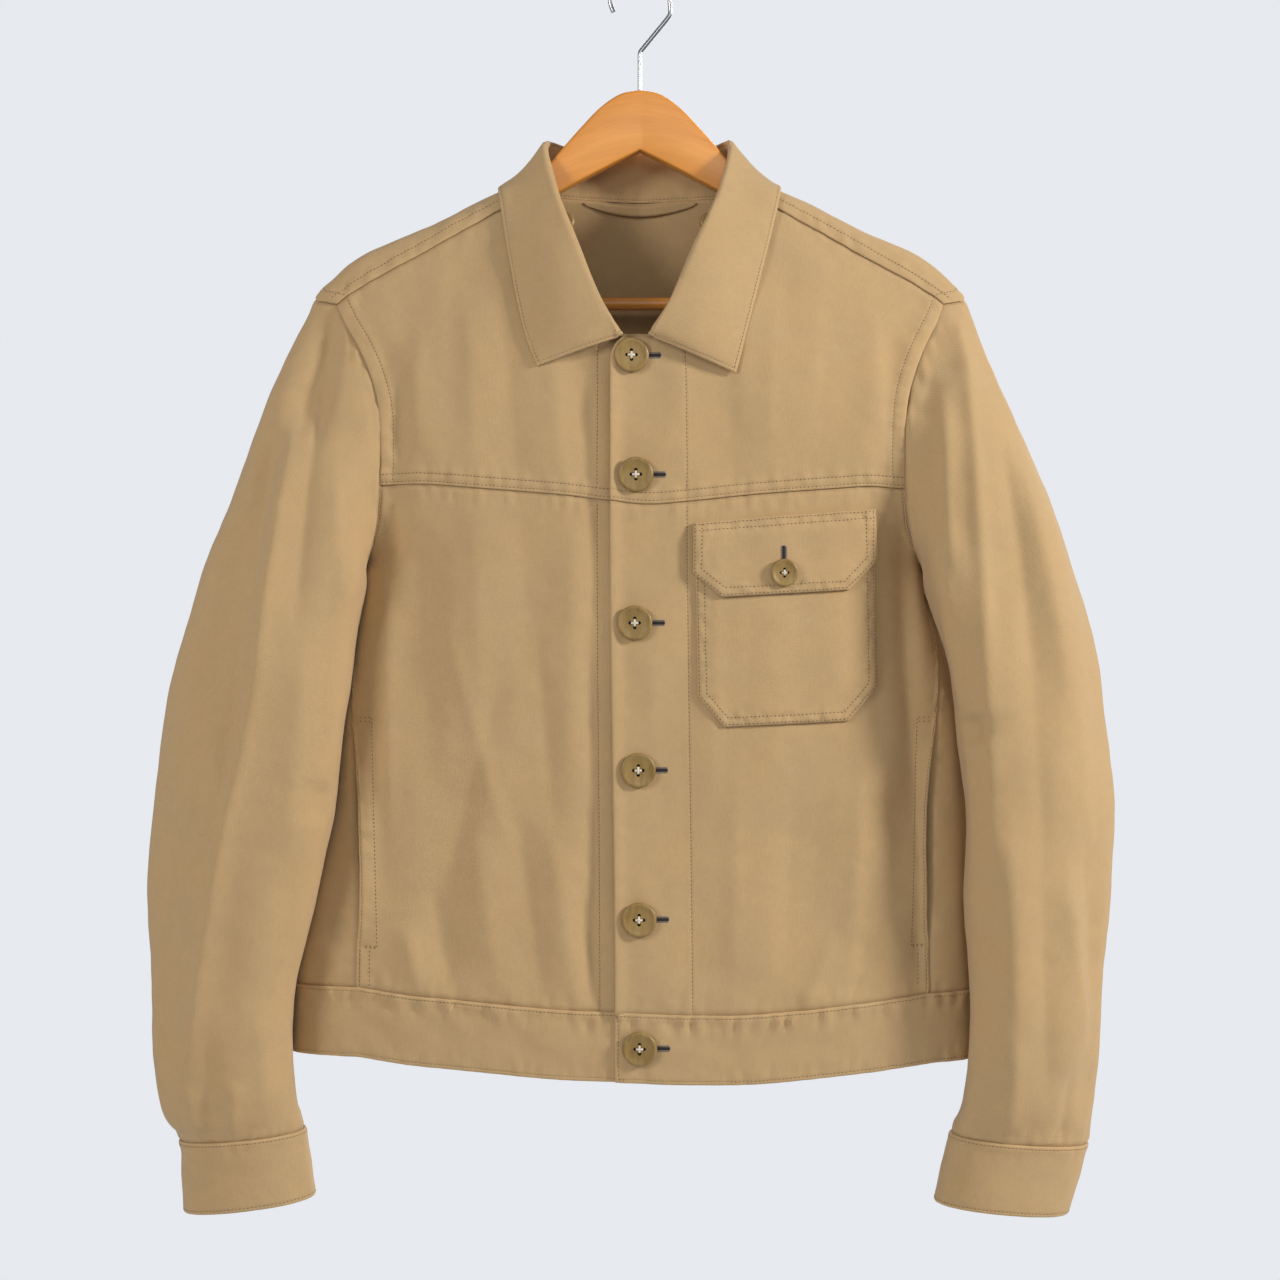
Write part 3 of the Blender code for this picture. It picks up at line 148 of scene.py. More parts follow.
# ---- collar ----
FOLD_LINE = (             # share of the way to the centre back, -X side x, +X side x, y, down
    (0, 12, 6, -53, 261.5), (0.2, 26, 20, -51, 239), (0.42, 43, 38, -39, 197),
    (0.56, 57, 54, -23, 158), (0.66, 64, 61, -3, 124), (0.8, 48, 48, 16, 121),
    (1, 0, 0, 23, 121))
LEAF_EDGE = (             # share, -X side x and way round from the shoulder line, +X side the same
    (0, 69.5, -146, 64.5, -153), (0.2, 78.5, -116, 69.5, -131), (0.42, 88, -67, 82, -76),
    (0.56, 96, -17, 95, -17), (0.63, 97, 0, 96.5, 0), (0.7, 94.5, 16, 94.5, 16),
    (0.78, 81, 26, 81, 26), (0.88, 57, 35, 57, 35), (1, 0, 62, 0, 62))
LEAF_LIFT = 3.0           # the leaf's edge above the body's surface
LEAF_BULGE = (            # share, how far the leaf rounds out between its fold and its edge
    (0, 3.0), (0.38, 3.0), (0.56, -1.2), (0.7, -1.0), (0.82, 1.0), (1, 1.0))
FOLD_RADIUS = 2.0

# ---- pockets, loop, buttons ----
POCKET_OUTLINE = (        # share of the height, left x, right x
    (0.0, 37.0, 160.0), (0.83, 39.0, 161.5), (1.0, 56.6, 141.0))
POCKET_TOP = (402.0, 392.0)             # left and right, under the flap
POCKET_BOTTOM = (528.6, 523.0)
FLAP_OUTLINE = ((0.0, 36.0, 159.5), (0.66, 35.5, 160.0), (1.0, 55.0, 141.0))
FLAP_TOP = (390.0, 380.0)
FLAP_BOTTOM = (441.0, 434.0)
FACING_DOWN = (527.0, 675.0)            # the side pocket's mouth
FACING_HALF_TURN = 0.16
FACING_SLACK = 0.9
LOOP_HALF_LENGTH = 40.0
LOOP_HEIGHT = 6.5
LOOP_SAG = 3.0
LOOP_THICKNESS = 1.0
BUTTON_DOWNS = (276.0, 357.0, 457.5, 557.0, 658.0, 745.0)
BUTTON_XS = (-6.0, -2.7, -3.4, -1.4, -0.7, 0.0)
BUTTON_RADIUS = 12.0
POCKET_BUTTON = (97.0, 423.5)
SMALL_RADIUS = 9.5
NECK_BUTTON_RADIUS = 7.5
BUTTON_THICKNESS = 3.4

# ---- hanger ----
WOOD_THICKNESS = 12.0
WOOD_ROUNDING = 4.5       # along the top and the ends
WOOD_EASED_EDGE = 1.3     # and along the underside
WOOD_TOP = (              # x, down
    (0, 85), (14, 88), (28, 97.5), (42, 112), (50, 121), (62, 134.5), (82, 151.3), (98, 158.8),
    (145, 181.3), (181, 198), (201, 210), (208, 216.5))
WOOD_BOTTOM = (
    (0, 127), (20, 137), (58, 157), (100, 179), (150, 208), (180, 228), (200, 244), (208, 248))
BAR_DOWN = 233.8
BAR_RADIUS = 4.4
BAR_EASED_EDGE = 0.8
BAR_HALF_LENGTH = 193.0
WIRE_RADIUS = 1.6
HOOK_RADIUS = 21.0
HOOK_BEND_DOWN = 56.0
HOOK_BEND_X = 1.2
HOOK_SLANT_UP = 12.5      # the slanted part ends this far below the middle of the hook's round part
HOOK_TURN = (-8, 211, 6)  # degrees: the round part's start, end and step
STEM_DOWNS = (106.0, 95, 84, 74, 66, 60, 57.5)    # along the stem, from its foot in the wood

# ---- fine cloth ----
LINE_SPACING = 2.7        # between a fine grid's lines, away from its edges
RING_SCALE = 2            # columns of a sleeve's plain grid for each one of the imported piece's
TUCK = 2.2                # how far a piece runs on under the one that is sewn over it
OVER_LIFT = 0.60          # a seam's upper piece stands this far off the plain surface
UNDER_LIFT = -0.95        # and its lower piece this far below it
ROLL = 0.5                # a folded edge rolls down by this
GROOVE = 0.28             # depth of a stitch row
ROW_SIDE = 0.55           # the grid lines on both sides of a stitch row are this far from it
UNDER_LINES = (-TUCK, 0.0, 1.4, 3.4)    # a fine grid's first lines at an edge that is sewn under
TURNED_LINES = (0.0, 0.45, 1.0)         # and at an edge that is turned in
LINES_AFTER_ROWS = (1.4, 3.4)
LINE_WITHOUT_ROWS = 1.8
PUCKER = 0.75             # height of the gathers beside a stitched edge
GATHER_SIZE = 5.0
GATHER_MIDDLE = 5.5       # they are highest this far from the edge
GATHER_REACH = 7.0
FREE_EDGE_GATHERS = 0.4   # the share of them that a free edge has
DRAPE = 1.6               # height of the cloth's loose, wide waves
DRAPE_SIZE = 34.0
DIMPLE = 0.22             # and of its small ones
DIMPLE_SIZE = 13.0
POCKET_PUCKER = 0.6       # height of the gathers along a pocket piece's edge
POCKET_DIMPLE = 0.35      # and of its wider bumps
FOLD = 2.2                # scale of the folds below
CREASE = 3.0              # rounding of a fold's ridge
UNDERARM_BULGE = 3.2      # the sleeves touch the body under the arms
UNDERARM_BULGE_DOWN = 426.0
UNDERARM_BULGE_REACH = 26.0
MOUTH_GAPE = 5.6          # how far a side pocket's mouth stands off the body
MOUTH_PULL = 3.4          # and how far its edge is drawn towards the buttons
STITCH_PITCH = 2.7
STITCH_LENGTH = 1.4
THREAD_RADIUS = 0.34
SEAM_ROWS = (1.6, 7.0)    # double rows on the yokes
POCKET_ROWS = (1.5, 6.0)  # and round the chest pocket and its flap
WELT_ROW = 13.7           # from a side pocket's mouth
BELOW_MOUTH_ROWS = (2.0, 8.6)
BELOW_MOUTH_END = 705.0   # down
EDGE_CURL = 2.4           # the upper front's free edge stands up by this
ARMHOLE_ROWS = (8.6,)
EDGE_ROW = (1.7,)
PLACKET_ROWS = {-1: (47.0,), 1: (52.0,)}

# Soft folds as seen from the front: x and down at both ends, half width, height
FRONT_DRAPE = (
    (-164, 300, -172, 430, 9, -1.6), (-150, 262, -156, 350, 12, 1.4), (-118, 240, -112, 352, 16, 1.2),
    (-92, 250, -84, 360, 15, -1.0), (-60, 262, -52, 372, 14, 1.0), (-36, 300, -33, 368, 8, -1.2),
    (-27, 290, -25, 372, 6, 1.0), (-30, 380, -32, 460, 6, -1.0), (-34, 470, -31, 560, 6, -1.2),
    (-31, 580, -33, 700, 6, -1.2), (-45, 400, -48, 560, 16, 1.2), (-80, 385, -76, 560, 18, -1.1),
    (-112, 390, -104, 600, 20, 1.5), (-150, 400, -142, 560, 18, -1.0),
    (-128, 470, -92, 600, 7, 0.9), (-96, 500, -130, 640, 8, -0.8), (-70, 470, -58, 600, 7, -0.8),
    (-172, 420, -170, 600, 10, 1.6),
    (-60, 600, -44, 706, 14, 1.5), (-84, 590, -66, 706, 13, -1.4), (-112, 600, -96, 700, 14, 1.3),
    (-142, 640, -128, 705, 12, -1.3), (-158, 668, -150, 706, 7, 1.4), (-40, 640, -30, 712, 8, -1.2),
    (60, 262, 64, 352, 14, -0.8), (92, 235, 88, 330, 16, 1.1), (128, 240, 122, 340, 16, -0.9),
    (160, 250, 166, 340, 11, 1.0), (52, 390, 50, 560, 9, 0.7), (182, 385, 190, 600, 14, -3.6),
    (190, 560, 192, 700, 13, -3.2),
    (150, 545, 146, 700, 14, 1.1), (106, 560, 96, 700, 18, -1.0),
    (66, 545, 62, 706, 14, 1.0), (30, 400, 32, 700, 7, -0.6), (8, 480, 10, 540, 8, 0.5),
    (128, 676, 112, 716, 9, 1.2), (156, 672, 146, 712, 8, -1.1), (190, 392, 196, 500, 5, 1.2))
SLEEVE_DRAPE = (
    (-214, 248, -236, 330, 6, -1.8), (-236, 322, -245, 395, 5, 2.2), (-245, 395, -256, 497, 5, 2.4),
    (-256, 497, -284, 630, 6, 2.2), (-284, 630, -306, 760, 7, 1.8), (-252, 330, -262, 430, 8, -2.0),
    (-262, 430, -276, 560, 9, -1.8), (-214, 258, -222, 330, 7, -2.2), (-222, 330, -230, 460, 9, -2.0),
    (-205, 360, -202, 440, 8, 1.6), (-224, 480, -232, 600, 10, 1.2), (-300, 480, -318, 640, 10, 1.4),
    (-318, 640, -318, 760, 9, -1.2), (-240, 738, -244, 768, 5, -1.6), (-256, 720, -252, 790, 8, 1.5),
    (-290, 740, -292, 800, 8, -1.3), (-212, 568, -218, 590, 7, -2.0), (-232, 620, -240, 720, 10, -1.1),
    (-272, 770, -276, 806, 5, 1.2), (-306, 772, -300, 806, 5, 1.2),
    (219, 248, 224, 290, 6, 2.0), (224, 290, 228, 400, 5, 1.8), (228, 400, 234, 540, 5, 1.8),
    (234, 540, 238, 620, 8, 1.6), (199, 292, 190, 316, 8, -1.2), (207, 310, 209, 420, 8, 2.4),
    (209, 420, 213, 560, 8, 2.4), (213, 560, 218, 680, 8, 1.6),
    (246, 330, 262, 470, 10, -1.8), (262, 470, 270, 620, 12, -1.2), (262, 360, 286, 500, 9, 1.5),
    (225, 520, 227, 536, 6, -2.6), (246, 600, 252, 720, 9, 1.3), (288, 636, 300, 740, 6, 1.8),
    (300, 600, 306, 700, 9, -1.3), (268, 640, 274, 780, 9, -1.2), (232, 640, 236, 760, 8, -1.1),
    (252, 740, 250, 806, 6, 1.2), (292, 760, 286, 808, 5, -1.4), (222, 762, 224, 800, 5, 1.4))
BACK_DRAPE = (
    (-150, 300, -120, 420, 16, 1.6), (-120, 420, -110, 700, 18, 1.4), (-168, 330, -160, 470, 12, -1.6),
    (-60, 270, -56, 700, 22, -1.3), (0, 250, 4, 690, 24, 1.2), (62, 280, 58, 700, 20, -1.2),
    (122, 300, 112, 690, 18, 1.5), (164, 320, 158, 480, 12, -1.6), (-186, 440, -184, 640, 12, 1.4),
    (186, 440, 184, 640, 12, 1.4), (-226, 280, -262, 420, 8, 1.8), (-262, 420, -296, 640, 10, 1.6),
    (-240, 330, -250, 460, 9, -1.8), (-300, 520, -312, 720, 10, -1.4), (232, 290, 262, 430, 8, 1.8),
    (262, 430, 286, 640, 10, 1.6), (236, 340, 248, 470, 9, -1.8), (292, 520, 300, 720, 10, -1.4),
    (-250, 640, -262, 780, 9, 1.2), (246, 640, 250, 780, 9, 1.2))

# Kinds of edge, each with the distances of its stitch rows
PLAIN = ("plain", ())
UNDER = ("under", ())                   # runs on under the neighbour that is sewn over it
OVER = ("over", EDGE_ROW)               # sewn over its neighbour
FREE = ("free", EDGE_ROW)               # turned in and stitched

# Buttons and buttonholes
HOLE_OFFSET = 3.1         # of a button's four holes, from its middle
HOLE_RADIUS = 1.2
BUTTON_DISH = 0.70        # height of a button's dished middle, as a share of its thickness
BUTTON_GAP = 0.35         # between a button and the cloth
CARRIERS = (              # the cloth that each front button is on
    "yoke_front_left", "yoke_front_left", "front_left", "front_left", "front_left", "waistband")
STRAND_GAP = 0.42         # between the three strands through each of a button's holes
STRAND_BEADS = 8          # along each strand
HOLE_STITCH_LENGTH = 1.2  # of a buttonhole's close stitches
HOLE_STITCH_RADIUS = 0.25
HOLE_STITCH_ASIDE = 1.7   # from the slit
BAR_STITCHES = 5          # across its end
BUTTONHOLE_FROM, BUTTONHOLE_TO = 8.0, 19.5
POCKET_HOLE_FROM, POCKET_HOLE_TO = 6.5, 17.5


# ------------------------------------------------------------------ small helpers
def follow(table, at, column=1):
    """The smooth value of one column at a place along the table's first column."""
    last = len(table) - 1
    if at <= table[0][0]:
        return table[0][column]
    if at >= table[last][0]:
        return table[last][column]
    row = 0
    while table[row + 1][0] < at:
        row += 1

    def slope(index):
        low, high = max(index - 1, 0), min(index + 1, last)
        return (table[high][column] - table[low][column]) / (table[high][0] - table[low][0])

    span = table[row + 1][0] - table[row][0]
    t = (at - table[row][0]) / span
    return ((2 * t**3 - 3 * t**2 + 1) * table[row][column]
            + (t**3 - 2 * t**2 + t) * span * slope(row)
            + (3 * t**2 - 2 * t**3) * table[row + 1][column]
            + (t**3 - t**2) * span * slope(row + 1))


def between(low, high, share):
    return low + (high - low) * share


def ease(share):
    share = min(max(share, 0.0), 1.0)
    return share * share * (3 - 2 * share)


def fold_height(folds, a, b, stretch=1.0):
    """The height of soft folds, each a bump along a straight line that dies out at its ends."""
    total = 0.0
    for start_a, start_b, end_a, end_b, half_width, height in folds:
        run = Vector(((end_a - start_a) * stretch, end_b - start_b))
        offset = Vector(((a - start_a) * stretch, b - start_b))
        share = offset.dot(run) / run.length_squared
        aside = (offset - run * share).length / (half_width * stretch)
        taper = ease(share / 0.3 + 0.5) * ease((1 - share) / 0.3 + 0.5)
        total += height * math.exp(-aside * aside) * taper
    return total


def lengths_along(points):
    """How far along a line of points each of them lies."""
    lengths = [0.0]
    for last, point in zip(points, points[1:]):
        lengths.append(lengths[-1] + (point - last).length)
    return lengths


def column_of(x):
    """Which column of a table with one for each side holds this x or side."""
    return 1 if x < 0 else 2


# ------------------------------------------------------------------ the body's surface
def ridge_down(x):
    return follow(RIDGE, abs(x))


def half_width_at(x, down):
    return follow(HALF_WIDTH, down, column_of(x))


def side_seam_x(side, down):
    return side * follow(SIDE_SEAM, down, column_of(side))


def side_share(x, down):
    """1 at the centre and 0 where the surface turns round the body's side."""
    ratio = min(abs(x) / half_width_at(x, down), 1.0)
    return (1 - ratio**SIDE_POWER) ** (1 / SIDE_POWER)


def wall_depth(x, down, column):
    """How far the front or back surface stands from the middle plane."""
    below = max(down - ridge_down(x), 0.0)
    bend = RIDGE_RADIUS - min(below, RIDGE_RADIUS)
    round_part = math.sqrt(RIDGE_RADIUS**2 - bend**2)
    full = follow(HALF_DEPTH, down, column) - RIDGE_RADIUS
    return (round_part + full * math.sin(min(below / FALL, 1.0) * math.pi / 2)) * side_share(x, down)


def front_point(x, down, side=0):
    """A point on the front surface; the two fronts part where one laps over the other."""
    outside = ease((side * x - LAP_FROM) / (LAP_TO - LAP_FROM))
    lift = LAP_LIFT * (1 - outside) * side
    fold = fold_height(FRONT_FOLDS, x, down)
    return Vector((x, -wall_depth(x, down, 1) - lift - fold, -down))


def back_point(x, down):
    return Vector((x, wall_depth(x, down, 2), -down))


def around_point(turn, down):
    """A point on the lower body, by its turn: 0 is the -X side, pi / 2 the back, pi the +X side."""
    side = -1 if math.cos(turn) > 0 else 1
    x = side * half_width_at(side, down) * abs(math.cos(turn)) ** (2 / SIDE_POWER)
    return back_point(x, down) if math.sin(turn) >= 0 else front_point(x, down)


def turn_at(x, down, on_back=True):
    turn = math.acos(min(abs(x) / half_width_at(x, down), 1.0) ** (SIDE_POWER / 2))
    if not on_back:
        turn = -turn
    return turn if x < 0 else math.pi - turn


def normal_at(surface, a, b, step=0.5):
    """The unit normal of a surface of two values, turned by its own order of values."""
    along_a = surface(a + step, b) - surface(a - step, b)
    along_b = surface(a, b + step) - surface(a, b - step)
    return along_a.cross(along_b).normalized()


def above_front(x, down, side, height):
    """A point that stands off the front surface, outside for a positive height."""
    normal = normal_at(lambda a, b: front_point(a, b, side), x, down)
    if normal.y > 0:
        normal.negate()
    return front_point(x, down, side) + normal * height


def shoulder_surface(x, way):
    """The surface by x and the way round from the shoulder line, negative on the front."""
    bend = RIDGE_RADIUS * math.pi / 2
    if abs(way) < bend:
        fall = RIDGE_RADIUS * (1 - math.cos(way / RIDGE_RADIUS))
    else:
        fall = RIDGE_RADIUS + abs(way) - bend
    down = ridge_down(x) + fall
    return front_point(x, down) if way < 0 else back_point(x, down)


# ------------------------------------------------------------------ outlines of the pieces
FRONT_TIP_X = SHOULDER_END[0][1]
FRONT_TIP_DOWN = ridge_down(FRONT_TIP_X) + follow(SHOULDER_SEAM, FRONT_TIP_X)
BACK_TIP_X = SHOULDER_END[-1][1]
BACK_TIP_DOWN = ridge_down(BACK_TIP_X) + RIDGE_RADIUS
FULL_ARMHOLE_FRONT = ((FRONT_TIP_DOWN, FRONT_TIP_X),) + ARMHOLE_FRONT
FULL_ARMHOLE_BACK = ((BACK_TIP_DOWN, BACK_TIP_X),) + ARMHOLE_BACK


def coons(top, bottom, left, right, u, v):
    """A patch between four outlines that are given as pairs of values."""
    return (top(u) * (1 - v) + bottom(u) * v + left(v) * (1 - u) + right(v) * u
            - top(0) * (1 - u) * (1 - v) - top(1) * u * (1 - v)
            - bottom(0) * (1 - u) * v - bottom(1) * u * v)


def shoulder(side, u, v):
    """From the armhole (u 0) to the neck, and from the front seam (v 0) over to the back."""
    row = v * SHOULDER_ROWS
    x = between(follow(SHOULDER_END, row, 1), follow(SHOULDER_END, row, 2), u)
    if row < 1:
        point = front_point(x, ridge_down(x) + between(follow(SHOULDER_SEAM, x), RIDGE_RADIUS, row))
    else:
        angle = (row - 1) * math.pi / (SHOULDER_ROWS - 1) - math.pi / 2
        point = shoulder_surface(x, RIDGE_RADIUS * angle)
    point.x *= side
    return point


def armhole_front_x(side, down):
    share = (down - FRONT_TIP_DOWN) / (UNDERARM - FRONT_TIP_DOWN)
    return side * (follow(FULL_ARMHOLE_FRONT, down) + 2.0 * side * math.sin(math.pi * share))


def yoke_corner(side):
    """Where the front yoke's seam meets the armhole: x and down."""
    down = YOKE_SEAM[0][1] if side < 0 else YOKE_SEAM[-1][1]
    return Vector((armhole_front_x(side, down), down))


NECK_U = 0.5
NECK_END_U = 11 / 12
UNDERARM_V = 2 / 12


def neck_front(side, share):
    """The front neck seam, a quarter ellipse from the shoulder seam to the collar's end."""
    angle = share * math.pi / 2
    start_x, start_down = SHOULDER_END[0][2], ridge_down(SHOULDER_END[0][2]) + SHOULDER_SEAM[0][1]
    end_x = NECK_END[side]
    return Vector((side * between(end_x, start_x, math.cos(angle)),
                   between(start_down, NECK_FRONT_DOWN, math.sin(angle))))


def yoke_top(side, u):
    if u <= NECK_U:
        x = between(SHOULDER_END[0][1], SHOULDER_END[0][2], u / NECK_U)
        return Vector((side * x, ridge_down(x) + follow(SHOULDER_SEAM, x)))
    if u <= NECK_END_U:
        return neck_front(side, (u - NECK_U) / (NECK_END_U - NECK_U))
    end = neck_front(side, 1.0)
    share = (u - NECK_END_U) / (1 - NECK_END_U)
    return Vector((between(end.x, FRONT_EDGE[side][0], share), end.y + 0.5 * share))


def column_x(side, outer_x, inner_x, u):
    foot = side * NECK_FOOT
    if u <= NECK_U:
        return between(outer_x, foot, u / NECK_U)
    return between(foot, inner_x, (u - NECK_U) / (1 - NECK_U))


def yoke_bottom(side, u):
    corner = yoke_corner(side)
    x = column_x(side, corner.x, FRONT_EDGE[side][1], u)
    return Vector((x, between(corner.y, follow(YOKE_SEAM, x), min(u * 8, 1.0))))


def yoke_outer(side, v):
    down = between(FRONT_TIP_DOWN, yoke_corner(side).y, v)
    return Vector((armhole_front_x(side, down), down))


def yoke_inner(side, v):
    corner_x, seam_x, _ = FRONT_EDGE[side]
    rounding = max(1 - v / CORNER_SHARE, 0.0) ** 2
    return Vector((between(seam_x, corner_x, rounding),
                   between(yoke_top(side, 1.0).y, yoke_bottom(side, 1.0).y, v)))


def yoke_front(side, u, v):
    """From the armhole (u 0) to the front edge, and from the shoulder (v 0) to the chest seam."""
    flat = coons(lambda a: yoke_top(side, a), lambda a: yoke_bottom(side, a),
                 lambda a: yoke_outer(side, a), lambda a: yoke_inner(side, a), u, v)
    return front_point(flat.x, flat.y, side)


def side_seam(side, share):
    """The side seam from the underarm to the waistband: x and down."""
    waist_x = side * SIDE_SEAM[-1][column_of(side)]
    down = between(UNDERARM, follow(WAIST_SEAM, waist_x), share)
    return Vector((side_seam_x(side, down), down))


def front_bottom(side, u):
    corner = side_seam(side, 1.0)
    x = column_x(side, corner.x, FRONT_EDGE[side][2], u)
    return Vector((x, follow(WAIST_SEAM, x)))


def front_outer(side, v):
    if v <= UNDERARM_V:
        down = between(yoke_corner(side).y, UNDERARM, v / UNDERARM_V)
        x = armhole_front_x(side, down)
        end_x = side_seam(side, 0.0).x
        return Vector((between(x, x + end_x - armhole_front_x(side, UNDERARM), v / UNDERARM_V), down))
    return side_seam(side, (v - UNDERARM_V) / (1 - UNDERARM_V))


def front_inner(side, v):
    top, bottom = yoke_bottom(side, 1.0), front_bottom(side, 1.0)
    return Vector((between(top.x, bottom.x, ease(v)), between(top.y, bottom.y, v)))


def front(side, u, v):
    """From the side (u 0) to the front edge, and from the chest seam (v 0) to the waistband."""
    flat = coons(lambda a: yoke_bottom(side, a), lambda a: front_bottom(side, a),
                 lambda a: front_outer(side, a), lambda a: front_inner(side, a), u, v)
    return front_point(flat.x, flat.y, side)


# The back's columns: shoulder, neck, shoulder.
BACK_NECK = (0.3, 0.7)
BACK_UNDERARM_V = 5 / 15


def back_neck(share):
    """The back neck seam from the -X shoulder to the +X one."""
    half = SHOULDER_END[-1][2]
    x = between(-half, half, share)
    rise = NECK_BACK_DOWN - ridge_down(half) - RIDGE_RADIUS
    return Vector((x, NECK_BACK_DOWN - rise * (x / half) ** 2))


def back_yoke_top(c):
    if BACK_NECK[0] <= c <= BACK_NECK[1]:
        return back_neck((c - BACK_NECK[0]) / (BACK_NECK[1] - BACK_NECK[0]))
    share = c / BACK_NECK[0] if c < 0.5 else (1 - c) / BACK_NECK[0]
    x = between(SHOULDER_END[-1][1], SHOULDER_END[-1][2], share)
    return Vector((math.copysign(x, c - 0.5), ridge_down(x) + RIDGE_RADIUS))


def back_yoke_end(side):
    down = BACK_YOKE_DOWN + BACK_YOKE_DROP
    return Vector((side * follow(FULL_ARMHOLE_BACK, down), down))


def back_yoke_bottom(c):
    end_x = back_yoke_end(1).x
    x = between(-end_x, end_x, c)
    return Vector((x, BACK_YOKE_DOWN + BACK_YOKE_DROP * (x / end_x) ** 2))


def back_yoke_side(side, v):
    down = between(BACK_TIP_DOWN, back_yoke_end(side).y, v)
    return Vector((side * follow(FULL_ARMHOLE_BACK, down), down))


def back_yoke(c, v):
    """The back of the yoke, from the -X armhole (c 0) to the other, and down to its seam."""
    flat = coons(back_yoke_top, back_yoke_bottom, lambda a: back_yoke_side(-1, a),
                 lambda a: back_yoke_side(1, a), c, v)
    return back_point(flat.x, flat.y)


def back_side(side, v):
    """The back panel's edge, as turn and down: the armhole, then the side seam."""
    if v <= BACK_UNDERARM_V:
        share = v / BACK_UNDERARM_V
        down = between(back_yoke_end(side).y, UNDERARM, share)
        x = side * follow(FULL_ARMHOLE_BACK, down)
        x += (side_seam(side, 0.0).x - side * ARMHOLE_BACK[-1][1]) * share
        return Vector((turn_at(x, down), down))
    point = side_seam(side, (v - BACK_UNDERARM_V) / (1 - BACK_UNDERARM_V))
    return Vector((turn_at(point.x, point.y, on_back=False), point.y))


def back_top(c):
    flat = back_yoke_bottom(c)
    return Vector((turn_at(flat.x, flat.y), flat.y))


def back_bottom(c):
    left, right = back_side(-1, 1.0), back_side(1, 1.0)
    return Vector((between(left.x, right.x, c), between(left.y, right.y, c)))


def back(c, v):
    """The back panel, from one side seam round the back to the other, down to the waistband."""
    flat = coons(back_top, back_bottom, lambda a: back_side(-1, a), lambda a: back_side(1, a), c, v)
    return around_point(flat.x, flat.y)


def waistband_front(side, u, v):
    seam = front_bottom(side, u)
    down = seam.y + WAISTBAND_HEIGHT * v
    spread = half_width_at(side, down) / half_width_at(side, seam.y)
    x = seam.x * between(spread, 1.0, u)
    return front_point(x, down, side)


def waistband_back(c, v):
    seam = back_bottom(c)
    return around_point(seam.x, seam.y + WAISTBAND_HEIGHT * v)


# ------------------------------------------------------------------ sleeves and cuffs
def armhole_ring(side, steps):
    """The armhole's points from the shoulder's tip over the front and back again, with turns."""
    tip = 4 / SHOULDER_ROWS
    shoulder_front = steps["tip"]
    points = [shoulder(side, 0, between(tip, 0, i / shoulder_front)) for i in range(shoulder_front)]
    points += [yoke_front(side, 0, i / steps["yoke"]) for i in range(steps["yoke"])]
    points += [front(side, 0, UNDERARM_V * i / steps["scye"]) for i in range(steps["scye"])]
    underarm = len(points)
    c = 0 if side < 0 else 1
    points += [back(c, BACK_UNDERARM_V * (1 - i / steps["back"])) for i in range(steps["back"])]
    yoke_seam = len(points)
    points += [back_yoke(c, 1 - i / steps["back_yoke"]) for i in range(steps["back_yoke"])]
    shoulder_back = steps["tip_back"]
    points += [shoulder(side, 0, between(1, tip, i / shoulder_back)) for i in range(shoulder_back + 1)]
    lengths = lengths_along(points)
    half, whole = lengths[underarm], lengths[-1]
    turns = [0.5 * a / half if a <= half else 0.5 + 0.5 * (a - half) / (whole - half) for a in lengths]
    return points, turns, underarm, yoke_seam


def sleeve_section(side, turn, row):
    """A point of the sleeve's plain section: turn 0 is outside, 0.25 the front, 0.5 inside."""
    table = [(index,) + section for index, section in enumerate(SLEEVE_SECTIONS[side])]
    value = [follow(table, row, column) for column in range(1, 9)]
    outer = Vector((side * value[0], value[2], -value[1]))
    inner = Vector((side * value[3], value[5], -value[4]))
    twist = SLEEVE_TWIST * ease(row / 4) * (1 - 0.6 * ease((row - 6) / 5))
    angle = 2 * math.pi * turn + twist * (0.5 - 0.5 * math.cos(2 * math.pi * turn))
    along = math.copysign(abs(math.cos(angle)) ** (2 / SLEEVE_POWER), math.cos(angle))
    across = math.copysign(abs(math.sin(angle)) ** (2 / SLEEVE_POWER), math.sin(angle))
    depth = value[6] if across > 0 else value[7]
    return (outer + inner) / 2 + (outer - inner) / 2 * along - Vector((0, depth * across, 0))


def sleeve_point(side, start, turn, even_turn, row):
    """A point of the sleeve, which starts on the armhole and loses its shape further down."""
    share = row / LAST_SLEEVE_SECTION
    fade = max(1 - share / SLEEVE_FADE, 0.0) ** 2
    spread = between(turn, even_turn, ease(share * 2.5))
    middle = (sleeve_section(side, 0, row) + sleeve_section(side, 0.5, row)) / 2
    point = sleeve_section(side, spread, row)
    outward = (point - middle).normalized()
    fold = fold_height(SLEEVE_FOLDS[side], spread, share, 1.5) * ease(share * 8) * ease((1 - share) * 8)
    return point + (start - sleeve_section(side, turn, 0)) * fade + outward * fold


# ------------------------------------------------------------------ collar
def collar_columns(steps):
    """The neck seam's points from the -X front end round to the +X one, with side and share."""
    half = {}
    for side in (-1, 1):
        points = [front_point(*neck_front(side, 1 - i / steps["neck"]), side)
                  for i in range(steps["neck"])]
        points += [shoulder(side, 1, i / SHOULDER_ROWS) for i in range(SHOULDER_ROWS)]
        points += [back_point(*back_neck(0.5 + 0.5 * side * (1 - i / steps["half_back"])))
                   for i in range(steps["half_back"] + 1)]
        lengths = lengths_along(points)
        half[side] = [(side, length / lengths[-1], point) for length, point in zip(lengths, points)]
    return half[-1] + half[1][-2::-1]


